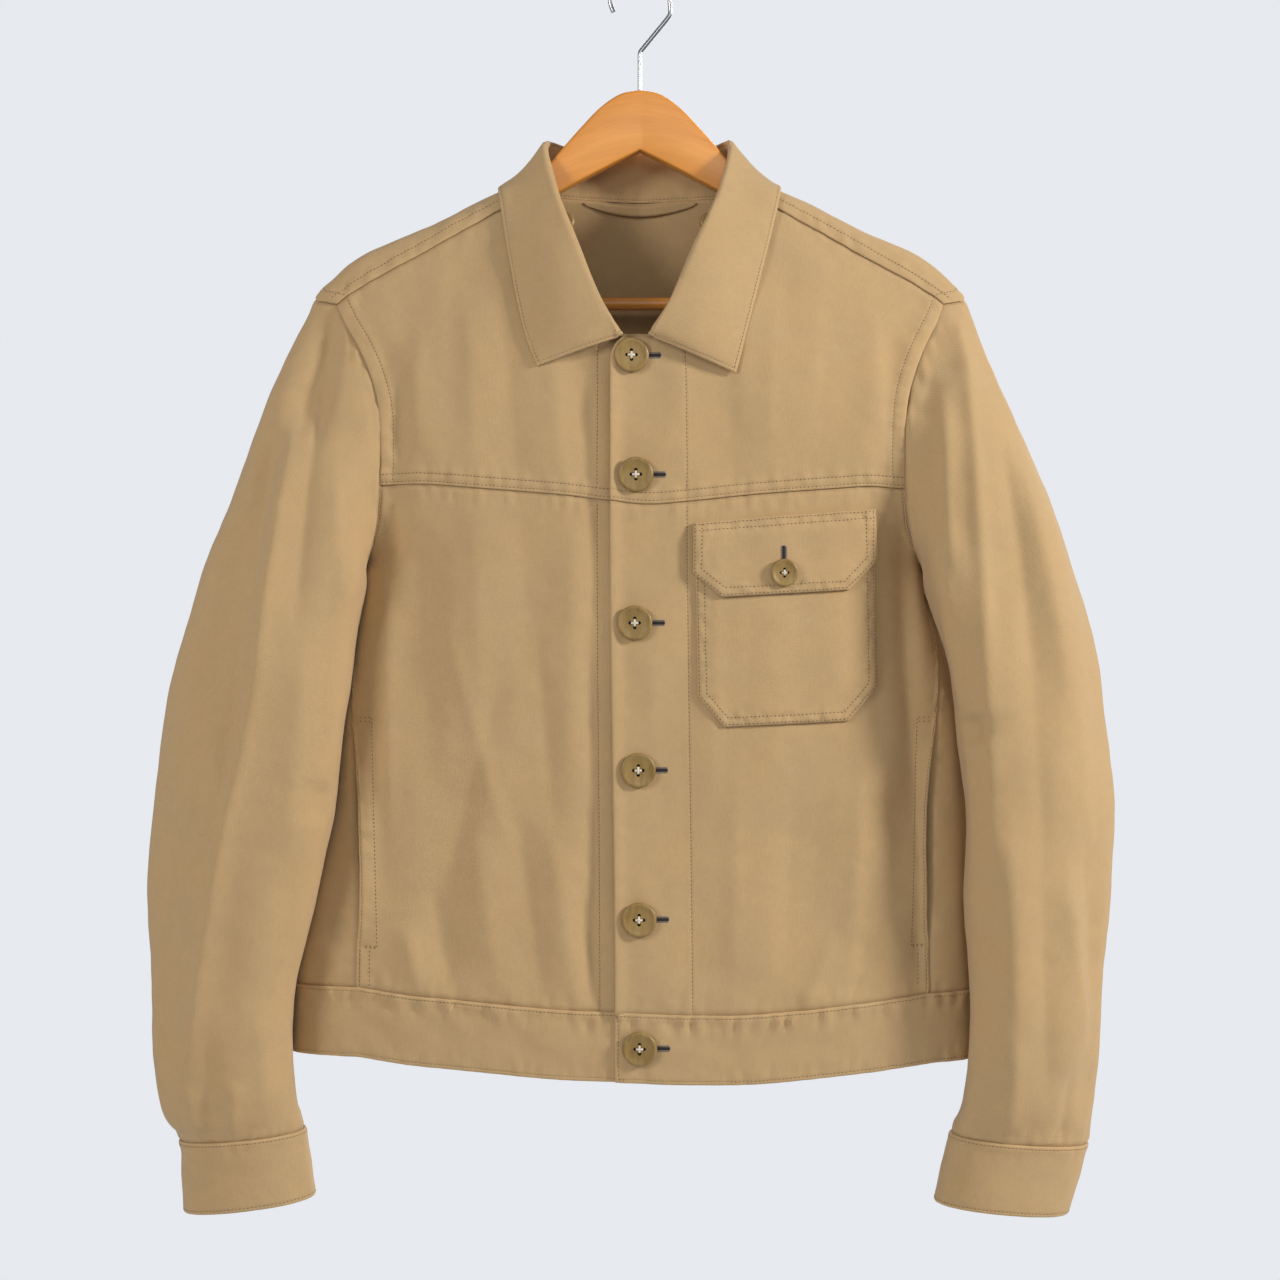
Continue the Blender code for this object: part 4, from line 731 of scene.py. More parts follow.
def leaf_edge(side, share):
    first = 1 if side < 0 else 3
    x, way = follow(LEAF_EDGE, share, first), follow(LEAF_EDGE, share, first + 1)
    outward = normal_at(shoulder_surface, x, way)
    middle = Vector((x, 0, -ridge_down(x) - RIDGE_RADIUS))
    surface = shoulder_surface(x, way)
    if outward.dot(surface - middle) < 0:
        outward.negate()
    point = surface + outward * LEAF_LIFT
    return Vector((side * point.x, point.y, point.z)), Vector((side * outward.x, outward.y, outward.z))


def fold_line(side, share):
    return Vector((side * follow(FOLD_LINE, share, column_of(side)),
                   follow(FOLD_LINE, share, 3), -follow(FOLD_LINE, share, 4)))


def collar_point(side, share, seat, v):
    """The collar from the neck seam (v 0) over its fold (v 0.4) to the leaf's edge (v 1)."""
    fold = fold_line(side, share)
    edge, outward = leaf_edge(side, share)
    up = (fold - seat).normalized()
    run = fold_line(side, share + 0.03) - fold_line(side, share - 0.03)
    aside = up.cross(run).normalized()
    if aside.x * fold.x + aside.y * fold.y < 0:
        aside.negate()
    inner = fold - up * FOLD_RADIUS
    if v <= 0.35:
        return seat.lerp(inner, v / 0.35)
    if v <= 0.45:
        angle = math.pi * (v - 0.35) / 0.1
        middle = fold - up * FOLD_RADIUS + aside * FOLD_RADIUS
        return middle - aside * FOLD_RADIUS * math.cos(angle) + up * FOLD_RADIUS * math.sin(angle)
    start = fold - up * FOLD_RADIUS + aside * 2 * FOLD_RADIUS
    along = (v - 0.45) / 0.55
    bulge = follow(LEAF_BULGE, share) * math.sin(math.pi * along) * (1 - 0.5 * along)
    return start.lerp(edge, along) + outward * bulge


# ------------------------------------------------------------------ fine grids of cloth
def smooth(share):
    share = np.clip(share, 0.0, 1.0)
    return share * share * (3 - 2 * share)


def point_grid(function, columns, rows):
    """A plain grid of a surface of two shares, rows by columns by three values."""
    return np.array([[function(column / columns, row / rows) for column in range(columns + 1)]
                     for row in range(rows + 1)])


def lengths_down(points):
    """The length down each column, from the first row."""
    steps = np.linalg.norm(np.diff(points, axis=0), axis=2)
    return np.concatenate([np.zeros((1, points.shape[1])), np.cumsum(steps, axis=0)])


def sample_rows(points, index):
    """The grid's columns at other row numbers, smoothly between the rows and straight past the ends."""
    last = len(points) - 1
    low = np.clip(np.floor(index).astype(int), 0, last - 1)
    share = (index - low)[..., None]
    grown = np.concatenate([2 * points[:1] - points[1:2], points, 2 * points[-1:] - points[-2:-1]])
    column = np.arange(points.shape[1])[None, :]
    a, b, c, d = (grown[low + step, column] for step in range(4))
    curved = 0.5 * (2 * b + (c - a) * share + (2 * a - 5 * b + 4 * c - d) * share**2
                    + (3 * b - a - 3 * c + d) * share**3)
    straight = b + (c - b) * share
    return np.where((share < 0) | (share > 1), straight, curved)


def edge_lines(kind, rows):
    """The distances from an edge at which a grid has lines, so that its stitch rows can be shaped."""
    if kind == "plain":
        return [0.0]
    start = list(UNDER_LINES if kind == "under" else TURNED_LINES)
    for row in rows:
        first = row - ROW_SIDE
        gap = first - start[-1]
        fills = int(gap / LINE_SPACING)
        start += [start[-1] + gap * (step + 1) / (fills + 1) for step in range(fills)]
        start += [first, row, row + ROW_SIDE]
    return start + [start[-1] + further for further in (LINES_AFTER_ROWS if rows else (LINE_WITHOUT_ROWS,))]


def respace(points, low, high, spacing, sections=None):
    """Moves a grid's rows, so that they lie close beside its detailed edges and evenly between.

    Sections, where given, are pairs of a row that keeps its place and the lines up to it.
    """
    down = lengths_down(points)
    first, last = edge_lines(*low), edge_lines(*high)
    room = down[-1].mean() - first[-1] - last[-1]
    sections = sections or [(len(points) - 1, max(int(round(room / spacing)), 1))]
    index = []
    for column in range(points.shape[1]):
        length = down[-1, column]
        squeeze = min(1.0, 0.9 * length / (first[-1] + last[-1] + 0.1))
        wanted = [value * squeeze for value in first]
        for row, lines in sections:
            end = length - last[-1] * squeeze if row == len(points) - 1 else down[row, column]
            wanted += list(np.linspace(wanted[-1], end, lines + 1)[1:])
        wanted = np.array(wanted[:-1] + [length - value * squeeze for value in last[::-1]])
        inside = np.interp(wanted, down[:, column], np.arange(len(points)))
        inside += np.minimum(wanted, 0) / down[1, column]
        inside += np.maximum(wanted - length, 0) / (length - down[-2, column])
        index.append(inside)
    return sample_rows(points, np.array(index).T)


def outward_normals(points, hint):
    """Unit normals of a grid, turned the way that the hint vectors mostly point."""
    normals = np.cross(np.gradient(points, axis=1), np.gradient(points, axis=0))
    normals /= np.maximum(np.linalg.norm(normals, axis=2, keepdims=True), 1e-9)
    turned = np.sign(np.sum(normals * hint))
    return normals * turned, turned


def from_middle_line(grid):
    return grid * (1, 1, 0)


def noise_at(points, size, seed):
    """Soft noise of about -1 to 1 whose blobs have the given size."""
    flat = points.reshape(-1, 3) / size + seed * 7.31
    return np.array([noise.noise(place) for place in flat.tolist()]).reshape(points.shape[:2]) * 1.6


def wide_waves(grid):
    return DRAPE * noise_at(grid * (1.0, 1.0, 0.45), DRAPE_SIZE, 3)


def drape_height(table, x, down):
    """Soft folds on whole grids; each is a bump along a straight line that dies out at its ends."""
    total = np.zeros_like(x)
    for start_x, start_down, end_x, end_down, half_width, height in table:
        run_x, run_down = end_x - start_x, end_down - start_down
        length = run_x**2 + run_down**2
        share = ((x - start_x) * run_x + (down - start_down) * run_down) / length
        aside = ((x - start_x) * run_down - (down - start_down) * run_x) / math.sqrt(length)
        taper = smooth(share / 0.5 + 0.5) * smooth((1 - share) / 0.5 + 0.5)
        away = np.sqrt(aside**2 + CREASE**2) - CREASE
        total += height * np.exp(-away / half_width) * taper
    return total * FOLD


class Patch:
    """A fine grid of cloth with its shape, and how near each point is to a stitch row or an edge."""

    def __init__(self, coarse, top=PLAIN, bottom=PLAIN, left=PLAIN, right=PLAIN, hint=from_middle_line,
                 spacing=LINE_SPACING, drape="body", over_above=0.0, turned=None, loose=1.0, flat_start=0.0,
                 sections=None, gathers=1.0):
        self.edges = {"top": top, "bottom": bottom, "left": left, "right": right}
        grid = respace(coarse, top, bottom, spacing, sections)
        grid = respace(grid.transpose(1, 0, 2), left, right, spacing).transpose(1, 0, 2)
        self.plain = grid
        down, across = lengths_down(grid), lengths_down(grid.transpose(1, 0, 2)).T
        starts = {name: edge_lines(*edge)[0] for name, edge in self.edges.items()}
        self.distance = {
            "top": down + starts["top"], "bottom": down[-1] - down + starts["bottom"],
            "left": across + starts["left"], "right": across[:, -1:] - across + starts["right"]}
        middle_row, middle_column = across[len(across) // 2], down[:, down.shape[1] // 2]
        self.flat = np.stack(np.broadcast_arrays(middle_row[None, :] + flat_start,
                                                 middle_column[:, None]), axis=-1)
        self.normals, own_turn = outward_normals(grid, hint(grid))
        self.turned = own_turn
        if turned is not None and turned != own_turn:
            self.normals, self.turned = -self.normals, turned
        # seam: painted shade along seams and in stitch rows, which the twill darkens by
        self.seam = np.zeros(grid.shape[:2])
        self.wear = np.zeros(grid.shape[:2])
        height = np.zeros(grid.shape[:2])
        nearest = np.full(grid.shape[:2], FAR)
        crosswise = noise_at(grid * (1.0, 1.0, 0.3), GATHER_SIZE, 1)
        upright = noise_at(grid * (0.4, 0.4, 1.0), GATHER_SIZE, 2)
        ripple = np.zeros(grid.shape[:2])
        for name, (kind, rows) in self.edges.items():
            if kind == "plain":
                continue
            distance = self.distance[name]
            edge_height = self.edge_height(kind, rows, distance)
            if over_above and name in ("left", "right"):
                share = self.distance["top"] / (self.distance["top"] + self.distance["bottom"])
                over = 1 - smooth((share - over_above) / 0.03 + 0.5)
                raised = OVER_LIFT * (1 - smooth((distance - 2) / 6))
                edge_height = edge_height * (1 - over) + raised * over
            height += edge_height
            own = crosswise if name in ("top", "bottom") else upright
            own = own * (FREE_EDGE_GATHERS if kind == "free" else 1.0)
            ripple = np.where(distance < nearest, own, ripple)
            nearest = np.minimum(nearest, distance)
        near = np.clip(nearest, 0, None)
        height += PUCKER * gathers * ripple * np.exp(-((near - GATHER_MIDDLE) / GATHER_REACH) ** 2) * loose
        height += wide_waves(grid) * smooth((near - 4) / 30) * loose
        height += DIMPLE * noise_at(grid, DIMPLE_SIZE, 4) * loose
        self.grid = grid + self.normals * (height + self.drape(drape, grid) * loose)[..., None]
        self.shade_normals, _ = outward_normals(self.grid, self.normals)

    def edge_height(self, kind, rows, distance):
        if kind == "under":
            # painted shade along the edge that runs under its neighbour
            self.seam = np.maximum(self.seam, np.exp(-(np.maximum(distance, 0) / 1.6) ** 2))
            return UNDER_LIFT * (1 - smooth(distance / 4.0))
        height = -ROLL * np.exp(-(distance / 0.45) ** 2)
        last = max(rows) if rows else 1.5
        if kind == "over":
            height += OVER_LIFT * (1 - smooth((distance - last) / 5.0))
        elif last > 20:
            height += 0.35 * (1 - smooth((distance - last) / 2.4))
            height += EDGE_CURL * np.exp(-(distance / 5.5) ** 2) * (last == PLACKET_ROWS[1][0])
        for row in rows:
            groove = np.exp(-((distance - row) / 0.5) ** 2)
            height -= GROOVE * groove
            # painted shade in the stitch row's groove
            self.seam = np.maximum(self.seam, groove * 0.4)
        self.wear = np.maximum(self.wear, np.exp(-((distance - 0.6) / 0.8) ** 2))
        return height

    def drape(self, kind, grid):
        """The folds of the photograph, each on the side of the cloth that it belongs to."""
        if kind == "none":
            return np.zeros(grid.shape[:2])
        x, down = grid[..., 0], -grid[..., 2]
        ahead, behind = (smooth((way * self.normals[..., 1] - 0.05) / 0.45) for way in (-1, 1))
        table = SLEEVE_DRAPE if kind == "sleeve" else FRONT_DRAPE
        inside = smooth((np.abs(self.normals[..., 0]) - 0.5) / 0.3) * (self.normals[..., 0] * x < 0)
        bulge = UNDERARM_BULGE * np.exp(-((down - UNDERARM_BULGE_DOWN) / UNDERARM_BULGE_REACH) ** 2) * inside
        return (drape_height(table, x, down) * ahead + drape_height(BACK_DRAPE, x, down) * behind
                + bulge * (kind == "sleeve"))

    def row_line(self, edge, distance, trim):
        """The points and normals along one edge at a distance from it, short of the corners."""
        upright = edge in ("left", "right")

        def from_edge(values):
            values = values.swapaxes(0, 1) if upright else values
            return values[::-1] if edge in ("bottom", "right") else values

        gaps, grid, normals = map(from_edge, (self.distance[edge], self.grid, self.shade_normals))
        ends = ("top", "bottom") if upright else ("left", "right")
        limits = [from_edge(self.distance[end]) for end in ends]
        places, outwards = [], []
        for column in range(grid.shape[1]):
            index = np.interp(distance, gaps[:, column], np.arange(len(grid)))
            low = min(int(index), len(grid) - 2)
            share = index - low
            if min(limit[low, column] for limit in limits) >= trim:
                places.append(grid[low, column] * (1 - share) + grid[low + 1, column] * share)
                outwards.append(normals[low, column])
        return np.array(places), np.array(outwards)


# ------------------------------------------------------------------ pieces
built = {}                # what each cloth piece is made of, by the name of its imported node


def link(thing):
    bpy.context.scene.collection.objects.link(thing)
    return thing


def mesh_data(name, mesh):
    """Mesh data of a bmesh, which ends here."""
    data = bpy.data.meshes.new(name)
    mesh.to_mesh(data)
    mesh.free()
    return data


def finished_mesh(thing):
    """Mesh data of an object with its modifiers or its curve carried out."""
    bpy.context.view_layer.update()
    return bpy.data.meshes.new_from_object(thing.evaluated_get(bpy.context.evaluated_depsgraph_get()))


def to_object(name, mesh, material, node=None):
    """Makes a piece of a mesh in millimetres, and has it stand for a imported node."""
    bmesh.ops.scale(mesh, vec=(MM, MM, MM), verts=mesh.verts)
    data = mesh_data(name, mesh)
    data.shade_smooth()
    data.set_sharp_from_angle(angle=SHARP_ANGLE)
    data.materials.append(material)
    piece = link(bpy.data.objects.new(name, data))
    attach(piece, "root")
    if node:
        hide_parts(node)
    return piece


def add_patch(mesh, patch):
    """Adds a patch's grid to a bmesh, with the values that its material reads."""
    vectors, numbers = mesh.verts.layers.float_vector, mesh.verts.layers.float
    # seam carries painted shade along seams and stitch rows; wear carries rubbed edges
    flat, seam, wear = (layers.get(name) or layers.new(name)
                        for layers, name in ((vectors, "flat"), (numbers, "seam"), (numbers, "wear")))
    rows, columns = patch.grid.shape[:2]
    made = bmesh.ops.create_grid(mesh, x_segments=columns - 1, y_segments=rows - 1, size=1)
    values = np.concatenate([patch.grid, patch.flat * MM, patch.seam[..., None],
                             patch.wear[..., None]], axis=2).reshape(-1, 7).tolist()
    for vert, (x, y, z, u, v, seam_shade_value, wear_value) in zip(made["verts"], values):
        vert.co = (x, y, z)
        vert[flat] = (u, v, 0)
        vert[seam] = seam_shade_value
        vert[wear] = wear_value
    if patch.turned < 0:
        faces = {face for vert in made["verts"] for face in vert.link_faces}
        bmesh.ops.reverse_faces(mesh, faces=list(faces))


def cloth_piece(name, patches, thickness, stitches=(), both_sides=False):
    """A cut piece of its patches, with its thickness, and the threads in its stitch rows."""
    mesh = bmesh.new()
    for patch in patches:
        add_patch(mesh, patch)
    if len(patches) > 1:
        bmesh.ops.remove_doubles(mesh, verts=mesh.verts, dist=PATCH_MERGE)
    mesh.normal_update()
    tree = BVHTree.FromBMesh(mesh)
    piece = to_object(f"cloth_{name}", mesh, twill, node=name)
    wall = piece.modifiers.new("thickness", "SOLIDIFY")
    wall.thickness = thickness * MM
    wall.offset = 0
    built[name] = {"piece": piece, "tree": tree, "thickness": thickness, "lines": []}
    for patch_number, edge, distance, trim in stitches:
        places, outwards = patches[patch_number].row_line(edge, distance, trim)
        stitch_line(name, places, outwards)
        if both_sides:
            stitch_line(name, places, -outwards)
    return piece


def stitch_line(name, places, outwards):
    """Remembers a line of stitches that lies on a piece's face."""
    if len(places) > 1:
        lift = built[name]["thickness"] / 2
        built[name]["lines"].append((np.array(places) + np.array(outwards) * lift, np.array(outwards)))


def surface_line(name, flat_points, step=1.5):
    """Points on a piece's mid-surface straight behind a line of x and down."""
    tree = built[name]["tree"]
    away = Vector((0, -1, 0))
    places, outwards = [], []
    for (x0, down0), (x1, down1) in zip(flat_points, flat_points[1:]):
        count = max(int(math.hypot(x1 - x0, down1 - down0) / step), 1)
        for number in range(count + 1):
            share = number / count
            start = Vector((between(x0, x1, share), 0, -between(down0, down1, share))) + away * 220
            hit, normal, _, _ = tree.ray_cast(start, -away)
            if hit is None:
                continue
            normal = normal if normal.dot(away) > 0 else -normal
            places.append(np.array(hit))
            outwards.append(np.array(normal))
    return np.array(places), np.array(outwards)


def add_bead(mesh, place, along, outward, length, radius, flatten=0.8):
    """One stitch: a small rounded bead of thread that lies along a line."""
    aside = outward.cross(along).normalized()
    up = along.cross(aside).normalized()
    turn = Matrix((along * length / 2, aside * radius, up * radius * flatten)).transposed().to_4x4()
    bmesh.ops.create_icosphere(mesh, subdivisions=1, radius=1.0, matrix=Matrix.Translation(place) @ turn)


def points_at(wanted, lengths, values):
    """The values of a line at other lengths along it, one row for each."""
    return np.stack([np.interp(wanted, lengths, values[:, axis]) for axis in range(3)], axis=1)


def make_threads():
    """Lays the remembered stitch lines of every piece."""
    for name, facts in built.items():
        if not facts["lines"]:
            continue
        mesh = bmesh.new()
        for places, outwards in facts["lines"]:
            lengths = np.concatenate([[0], np.cumsum(np.linalg.norm(np.diff(places, axis=0), axis=1))])
            count = int(lengths[-1] / STITCH_PITCH)
            wanted = (np.arange(count) + 0.5) * lengths[-1] / max(count, 1)
            line, ahead, back = (points_at(wanted + shift, lengths, places) for shift in (0, 0.4, -0.4))
            normals = points_at(wanted, lengths, outwards)
            for place, along, outward in zip(line, ahead - back, normals):
                along, outward = Vector(along), Vector(outward).normalized()
                if along.length > SHORTEST:
                    add_bead(mesh, Vector(place) + outward * 0.02, along.normalized(), outward,
                             STITCH_LENGTH, THREAD_RADIUS)
        if not mesh.verts:
            mesh.free()
            continue
        facts["threads"] = to_object(f"threads_{name}", mesh, thread)


# ------------------------------------------------------------------ materials
class Value:
    """A socket of a material's graph that can be reckoned with like a number."""

    def __init__(self, graph, socket):
        self.graph, self.socket = graph, socket

    def math(self, operation, first, second=0.0):
        return self.graph.node("ShaderNodeMath", {"operation": operation}, {0: first, 1: second})

    def __add__(self, other):
        return self.math("ADD", self, other)

    def __sub__(self, other):
        return self.math("SUBTRACT", self, other)

    def __rsub__(self, other):
        return self.math("SUBTRACT", other, self)

    def __mul__(self, other):
        return self.math("MULTIPLY", self, other)

    __radd__, __rmul__ = __add__, __mul__


class Graph:
    """One material, whose nodes are all made by one method."""

    def __init__(self, name):
        self.material = bpy.data.materials.new(name)
        self.material.use_nodes = True
        self.tree = self.material.node_tree
        self.shader = self.tree.nodes["Principled BSDF"]

    def node(self, kind, settings, inputs, output=0):
        made = self.tree.nodes.new(kind)
        for key, value in settings.items():
            setattr(made, key, value)
        for key, value in inputs.items():
            if isinstance(value, Value):
                self.tree.links.new(value.socket, made.inputs[key])
            else:
                made.inputs[key].default_value = value
        return Value(self, made.outputs[output])

    def attribute(self, name, output=2):
        return self.node("ShaderNodeAttribute", {"attribute_name": name}, {}, output)

    def place(self):
        return self.node("ShaderNodeTexCoord", {}, {}, "Object")

    def part(self, vector, axis):
        return self.node("ShaderNodeSeparateXYZ", {}, {0: vector}, axis)

    def joined(self, x, y, z):
        return self.node("ShaderNodeCombineXYZ", {}, {0: x, 1: y, 2: z})

    def scaled(self, vector, scale):
        return self.node("ShaderNodeVectorMath", {"operation": "MULTIPLY"}, {0: vector, 1: scale})

    def noise(self, vector, scale, detail=2.0, roughness=0.5):
        return self.node("ShaderNodeTexNoise", {}, {"Vector": vector, "Scale": scale, "Detail": detail,
                                                    "Roughness": roughness})

    def blend(self, factor, first, second):
        colours = {0: factor, 6: (*first, 1.0) if isinstance(first, tuple) else first,
                   7: (*second, 1.0) if isinstance(second, tuple) else second}
        return self.node("ShaderNodeMix", {"data_type": "RGBA"}, colours, 2)

    def tinted(self, colour, brightness):
        return self.node("ShaderNodeVectorMath", {"operation": "SCALE"}, {0: colour, "Scale": brightness})

    def finish(self, bump=None, strength=0.3, distance=0.0003, **sockets):
        if bump is not None:
            sockets["Normal"] = self.node("ShaderNodeBump", {}, {"Strength": strength, "Distance": distance,
                                                                 "Height": bump})
        for name, value in sockets.items():
            socket = self.shader.inputs[name.replace("_", " ")]
            if isinstance(value, Value):
                self.tree.links.new(value.socket, socket)
            else:
                socket.default_value = value
        return self.material


KHAKI = (0.500, 0.350, 0.182)
WARM_KHAKI = (0.480, 0.310, 0.145)
HORN_DARK = (0.17, 0.095, 0.022)
HORN_OLIVE = (0.33, 0.205, 0.055)
HORN_PALE = (0.46, 0.32, 0.115)
WOOD_PALE = (0.79, 0.325, 0.055)
WOOD_GRAIN = (0.64, 0.232, 0.032)
WIRE_COLOUR = (0.40, 0.41, 0.43, 1.0)
FLOOR_COLOUR = (0.80, 0.81, 0.83, 1.0)
TWILL_PITCH = 0.0012      # between the twill's diagonal ribs


def make_twill():
    """Cotton twill: diagonal ribs, uneven yarns, soft mottling and rubbed edges, with painted shade along
    seams and in stitch rows.
    """
    graph = Graph("khaki_twill")
    flat = graph.attribute("flat", 1)
    seam, wear = graph.attribute("seam"), graph.attribute("wear")
    turn = (graph.part(flat, 0) + graph.part(flat, 1) * 0.8) * (2 * math.pi / TWILL_PITCH)
    rib = turn.math("SINE", turn)
    yarn = graph.noise(graph.scaled(flat, (1100.0, 130.0, 1.0)), 1.0, 2.0)
    weft = graph.noise(graph.scaled(flat, (110.0, 1300.0, 1.0)), 1.0, 1.0)
    grain = graph.noise(graph.place(), 1500.0, 1.0)
    mottle = graph.noise(graph.place(), 26.0, 3.0, 0.6)
    patchy = graph.noise(graph.place(), 95.0, 2.0)
    # seam darkens the cloth as painted shade; wear lightens rubbed edges
    brightness = (1.0 + rib * 0.022 + (yarn - 0.5) * 0.16 + (weft - 0.5) * 0.10 + (grain - 0.5) * 0.10
                  + (mottle - 0.5) * 0.14 + (patchy - 0.5) * 0.07 - seam * 0.25 + wear * 0.05)
    colour = graph.tinted(graph.blend(mottle, KHAKI, WARM_KHAKI), brightness)
    height = rib * 0.30 + yarn * 0.8 + weft * 0.5 + grain * 0.5
    return graph.finish(bump=height, strength=0.28, distance=0.00035, Base_Color=colour,
                        Roughness=0.82 + (yarn - 0.5) * 0.12, Specular_IOR_Level=0.28, Sheen_Weight=0.18,
                        Sheen_Roughness=0.5)


def make_thread(name, colour):
    """Spun thread: fine twisted strands."""
    graph = Graph(name)
    strand = graph.noise(graph.place(), 2600.0, 1.0)
    tint = graph.tinted(colour, 0.82 + strand * 0.36)
    return graph.finish(bump=strand, strength=0.3, distance=0.0001, Base_Color=tint,
                        Roughness=0.75 + (strand - 0.5) * 0.1)


def make_horn():
    """Horn-like resin: cloudy olive brown with paler streaks under a satin polish."""
    graph = Graph("horn_resin")
    bent = graph.noise(graph.place(), 70.0, 3.0, 0.6)
    streak = graph.noise(graph.scaled(graph.place(), (260.0, 260.0, 60.0)), 1.0, 4.0, 0.65)
    speck = graph.noise(graph.place(), 1400.0, 2.0)
    cloudy = graph.blend(bent, HORN_DARK, HORN_OLIVE)
    colour = graph.blend((streak - 0.35) * 1.5, cloudy, HORN_PALE)
    return graph.finish(bump=streak * 0.4 + speck * 0.3, strength=0.12, distance=0.0002,
                        Base_Color=graph.tinted(colour, 0.92 + (speck - 0.5) * 0.2),
                        Roughness=0.42 + (bent - 0.5) * 0.16, Coat_Weight=0.12, Coat_Roughness=0.3)


def make_wood_finish():
    """Lacquered beech stained orange, its grain running down both arms."""
    graph = Graph("stained_wood")
    place = graph.place()
    x, y, z = (graph.part(place, axis) for axis in range(3))
    slope = x * x + 0.0012
    lower = z + slope.math("SQRT", slope) * 0.5
    grain = graph.noise(graph.joined(x * 9.0, y * 95.0, lower * 95.0), 1.0, 5.0, 0.6)
    fleck = graph.noise(graph.joined(x * 60.0, y * 900.0, lower * 900.0), 1.0, 2.0)
    cloud = graph.noise(place, 22.0, 2.0)
    colour = graph.blend((grain - 0.3) * 1.8, WOOD_PALE, WOOD_GRAIN)
    tint = graph.tinted(colour, 1.0 - (fleck - 0.5) * 0.22 + (cloud - 0.5) * 0.16)
    return graph.finish(bump=grain * 0.4 + fleck * 0.4, strength=0.10, distance=0.0003, Base_Color=tint,
                        Roughness=0.36 + (grain - 0.5) * 0.12, Coat_Weight=0.18, Coat_Roughness=0.25)


def make_chrome():
    """Bright plated wire with faint drawing marks."""
    graph = Graph("plated_wire")
    marks = graph.noise(graph.scaled(graph.place(), (900.0, 900.0, 60.0)), 1.0, 2.0)
    return graph.finish(bump=marks, strength=0.05, distance=0.0001, Base_Color=WIRE_COLOUR,
                        Metallic=1.0, Roughness=0.24 + (marks - 0.5) * 0.12)


def make_floor_finish():
    """Smooth pale paint."""
    return Graph("pale_floor").finish(Base_Color=FLOOR_COLOUR, Roughness=0.8)


twill = make_twill()
# Tonal khaki thread, darkened far below the cloth: painted shade along the stitch rows
thread = make_thread("shade_darkened_khaki_thread", (0.12, 0.075, 0.033))
pale_thread = make_thread("ecru_thread", (0.80, 0.74, 0.62))
grey_thread = make_thread("grey_buttonhole_thread", (0.20, 0.175, 0.170))
# Near-black painted shade, laid in the buttonhole slits and at the bottoms of the button holes
painted_shade = make_thread("slit_shade", (0.010, 0.009, 0.010))
horn = make_horn()
wood = make_wood_finish()
chrome = make_chrome()


# ------------------------------------------------------------------ the garment's pieces
SIDES = ((-1, "right"), (1, "left"))
FINE_RING = {part: steps * RING_SCALE for part, steps in
             {"tip": 4, "tip_back": 3, "yoke": 6, "scye": 2, "back": 5, "back_yoke": 2}.items()}
YOKE_LINES = 28           # rows of a fine grid down the back yoke
BAND_LINES = 12           # and down the waistband
BAND_GATHERS = 2.4        # how much more the waistband is gathered than the rest


def to_the_front(grid):
    return np.broadcast_to((0.0, -1.0, 0.0), grid.shape)


def make_yokes():
    blocks = []
    for side, _ in SIDES:
        shoulder_rows = point_grid(lambda u, v: shoulder(side, u, v), 30, 14)
        back_rows = point_grid(lambda u, v: back_yoke(0.5 + side * (0.5 - BACK_NECK[0] * u), v), 30, 14)
        rows = np.concatenate([shoulder_rows, back_rows[1:]])
        blocks.append(Patch(rows, top=("over", SEAM_ROWS[1:]), bottom=("over", SEAM_ROWS),
                            left=("over", ARMHOLE_ROWS), hint=over_shoulders,
                            sections=[(14, 14), (28, YOKE_LINES)]))
    middle = point_grid(lambda u, v: back_yoke(between(*BACK_NECK, u), v), 24, 14)
    blocks.append(Patch(middle, bottom=("over", SEAM_ROWS), sections=[(14, YOKE_LINES)]))
    lines = [(0, "top", SEAM_ROWS[1], 2), (1, "top", SEAM_ROWS[1], 2)]
    lines += [(number, "bottom", row, 1) for number in range(3) for row in SEAM_ROWS]
    lines += [(number, "left", ARMHOLE_ROWS[0], 1) for number in range(2)]
    cloth_piece("yoke_back", blocks, BODY_CLOTH, lines)

    for side, hand in SIDES:
        coarse = point_grid(lambda u, v: yoke_front(side, u, v), 36, 26)
        patch = Patch(coarse, top=UNDER, bottom=("over", SEAM_ROWS), left=("over", ARMHOLE_ROWS),
                      right=("free", PLACKET_ROWS[side]))
        lines = [(0, "bottom", row, 1) for row in SEAM_ROWS] + [(0, "left", ARMHOLE_ROWS[0], 2)]
        lines += [(0, "right", PLACKET_ROWS[side][0], 8)]
        cloth_piece(f"yoke_front_{hand}", [patch], BODY_CLOTH, lines)


def over_shoulders(points):
    """Outward from the body's middle line, and up over the shoulders."""
    hint = points.copy()
    hint[..., 2] = 30.0
    hint[..., 0] *= 0.2
    return hint


def make_fronts():
    for side, hand in SIDES:
        coarse = gaping_mouth(side, point_grid(lambda u, v: front(side, u, v), 48, 60))
        patch = Patch(coarse, top=UNDER, bottom=UNDER, left=OVER, right=("free", PLACKET_ROWS[side]))
        lines = [(0, "left", EDGE_ROW[0], 3), (0, "right", PLACKET_ROWS[side][0], 3)]
        cloth_piece(f"front_{hand}", [patch], BODY_CLOTH, lines)


def gaping_mouth(side, coarse):
    """Lifts the front's edge along the side pocket's mouth."""
    for row in coarse:
        across = np.abs(row[:, 0] - row[0, 0])
        share = (-row[0, 2] - FACING_DOWN[0]) / (FACING_DOWN[1] - FACING_DOWN[0])
        if 0 < share < 1:
            gape = math.sin(math.pi * share) ** 0.6 * np.exp(-(across / 14.0) ** 2)
            row[:, 1] -= MOUTH_GAPE * gape
            row[:, 0] -= side * MOUTH_PULL * gape
    return coarse


def make_back():
    coarse = point_grid(back, 84, 56)
    patch = Patch(coarse, top=UNDER, bottom=UNDER, left=UNDER, right=UNDER, over_above=BACK_UNDERARM_V)
    cloth_piece("back", [patch], BODY_CLOTH)


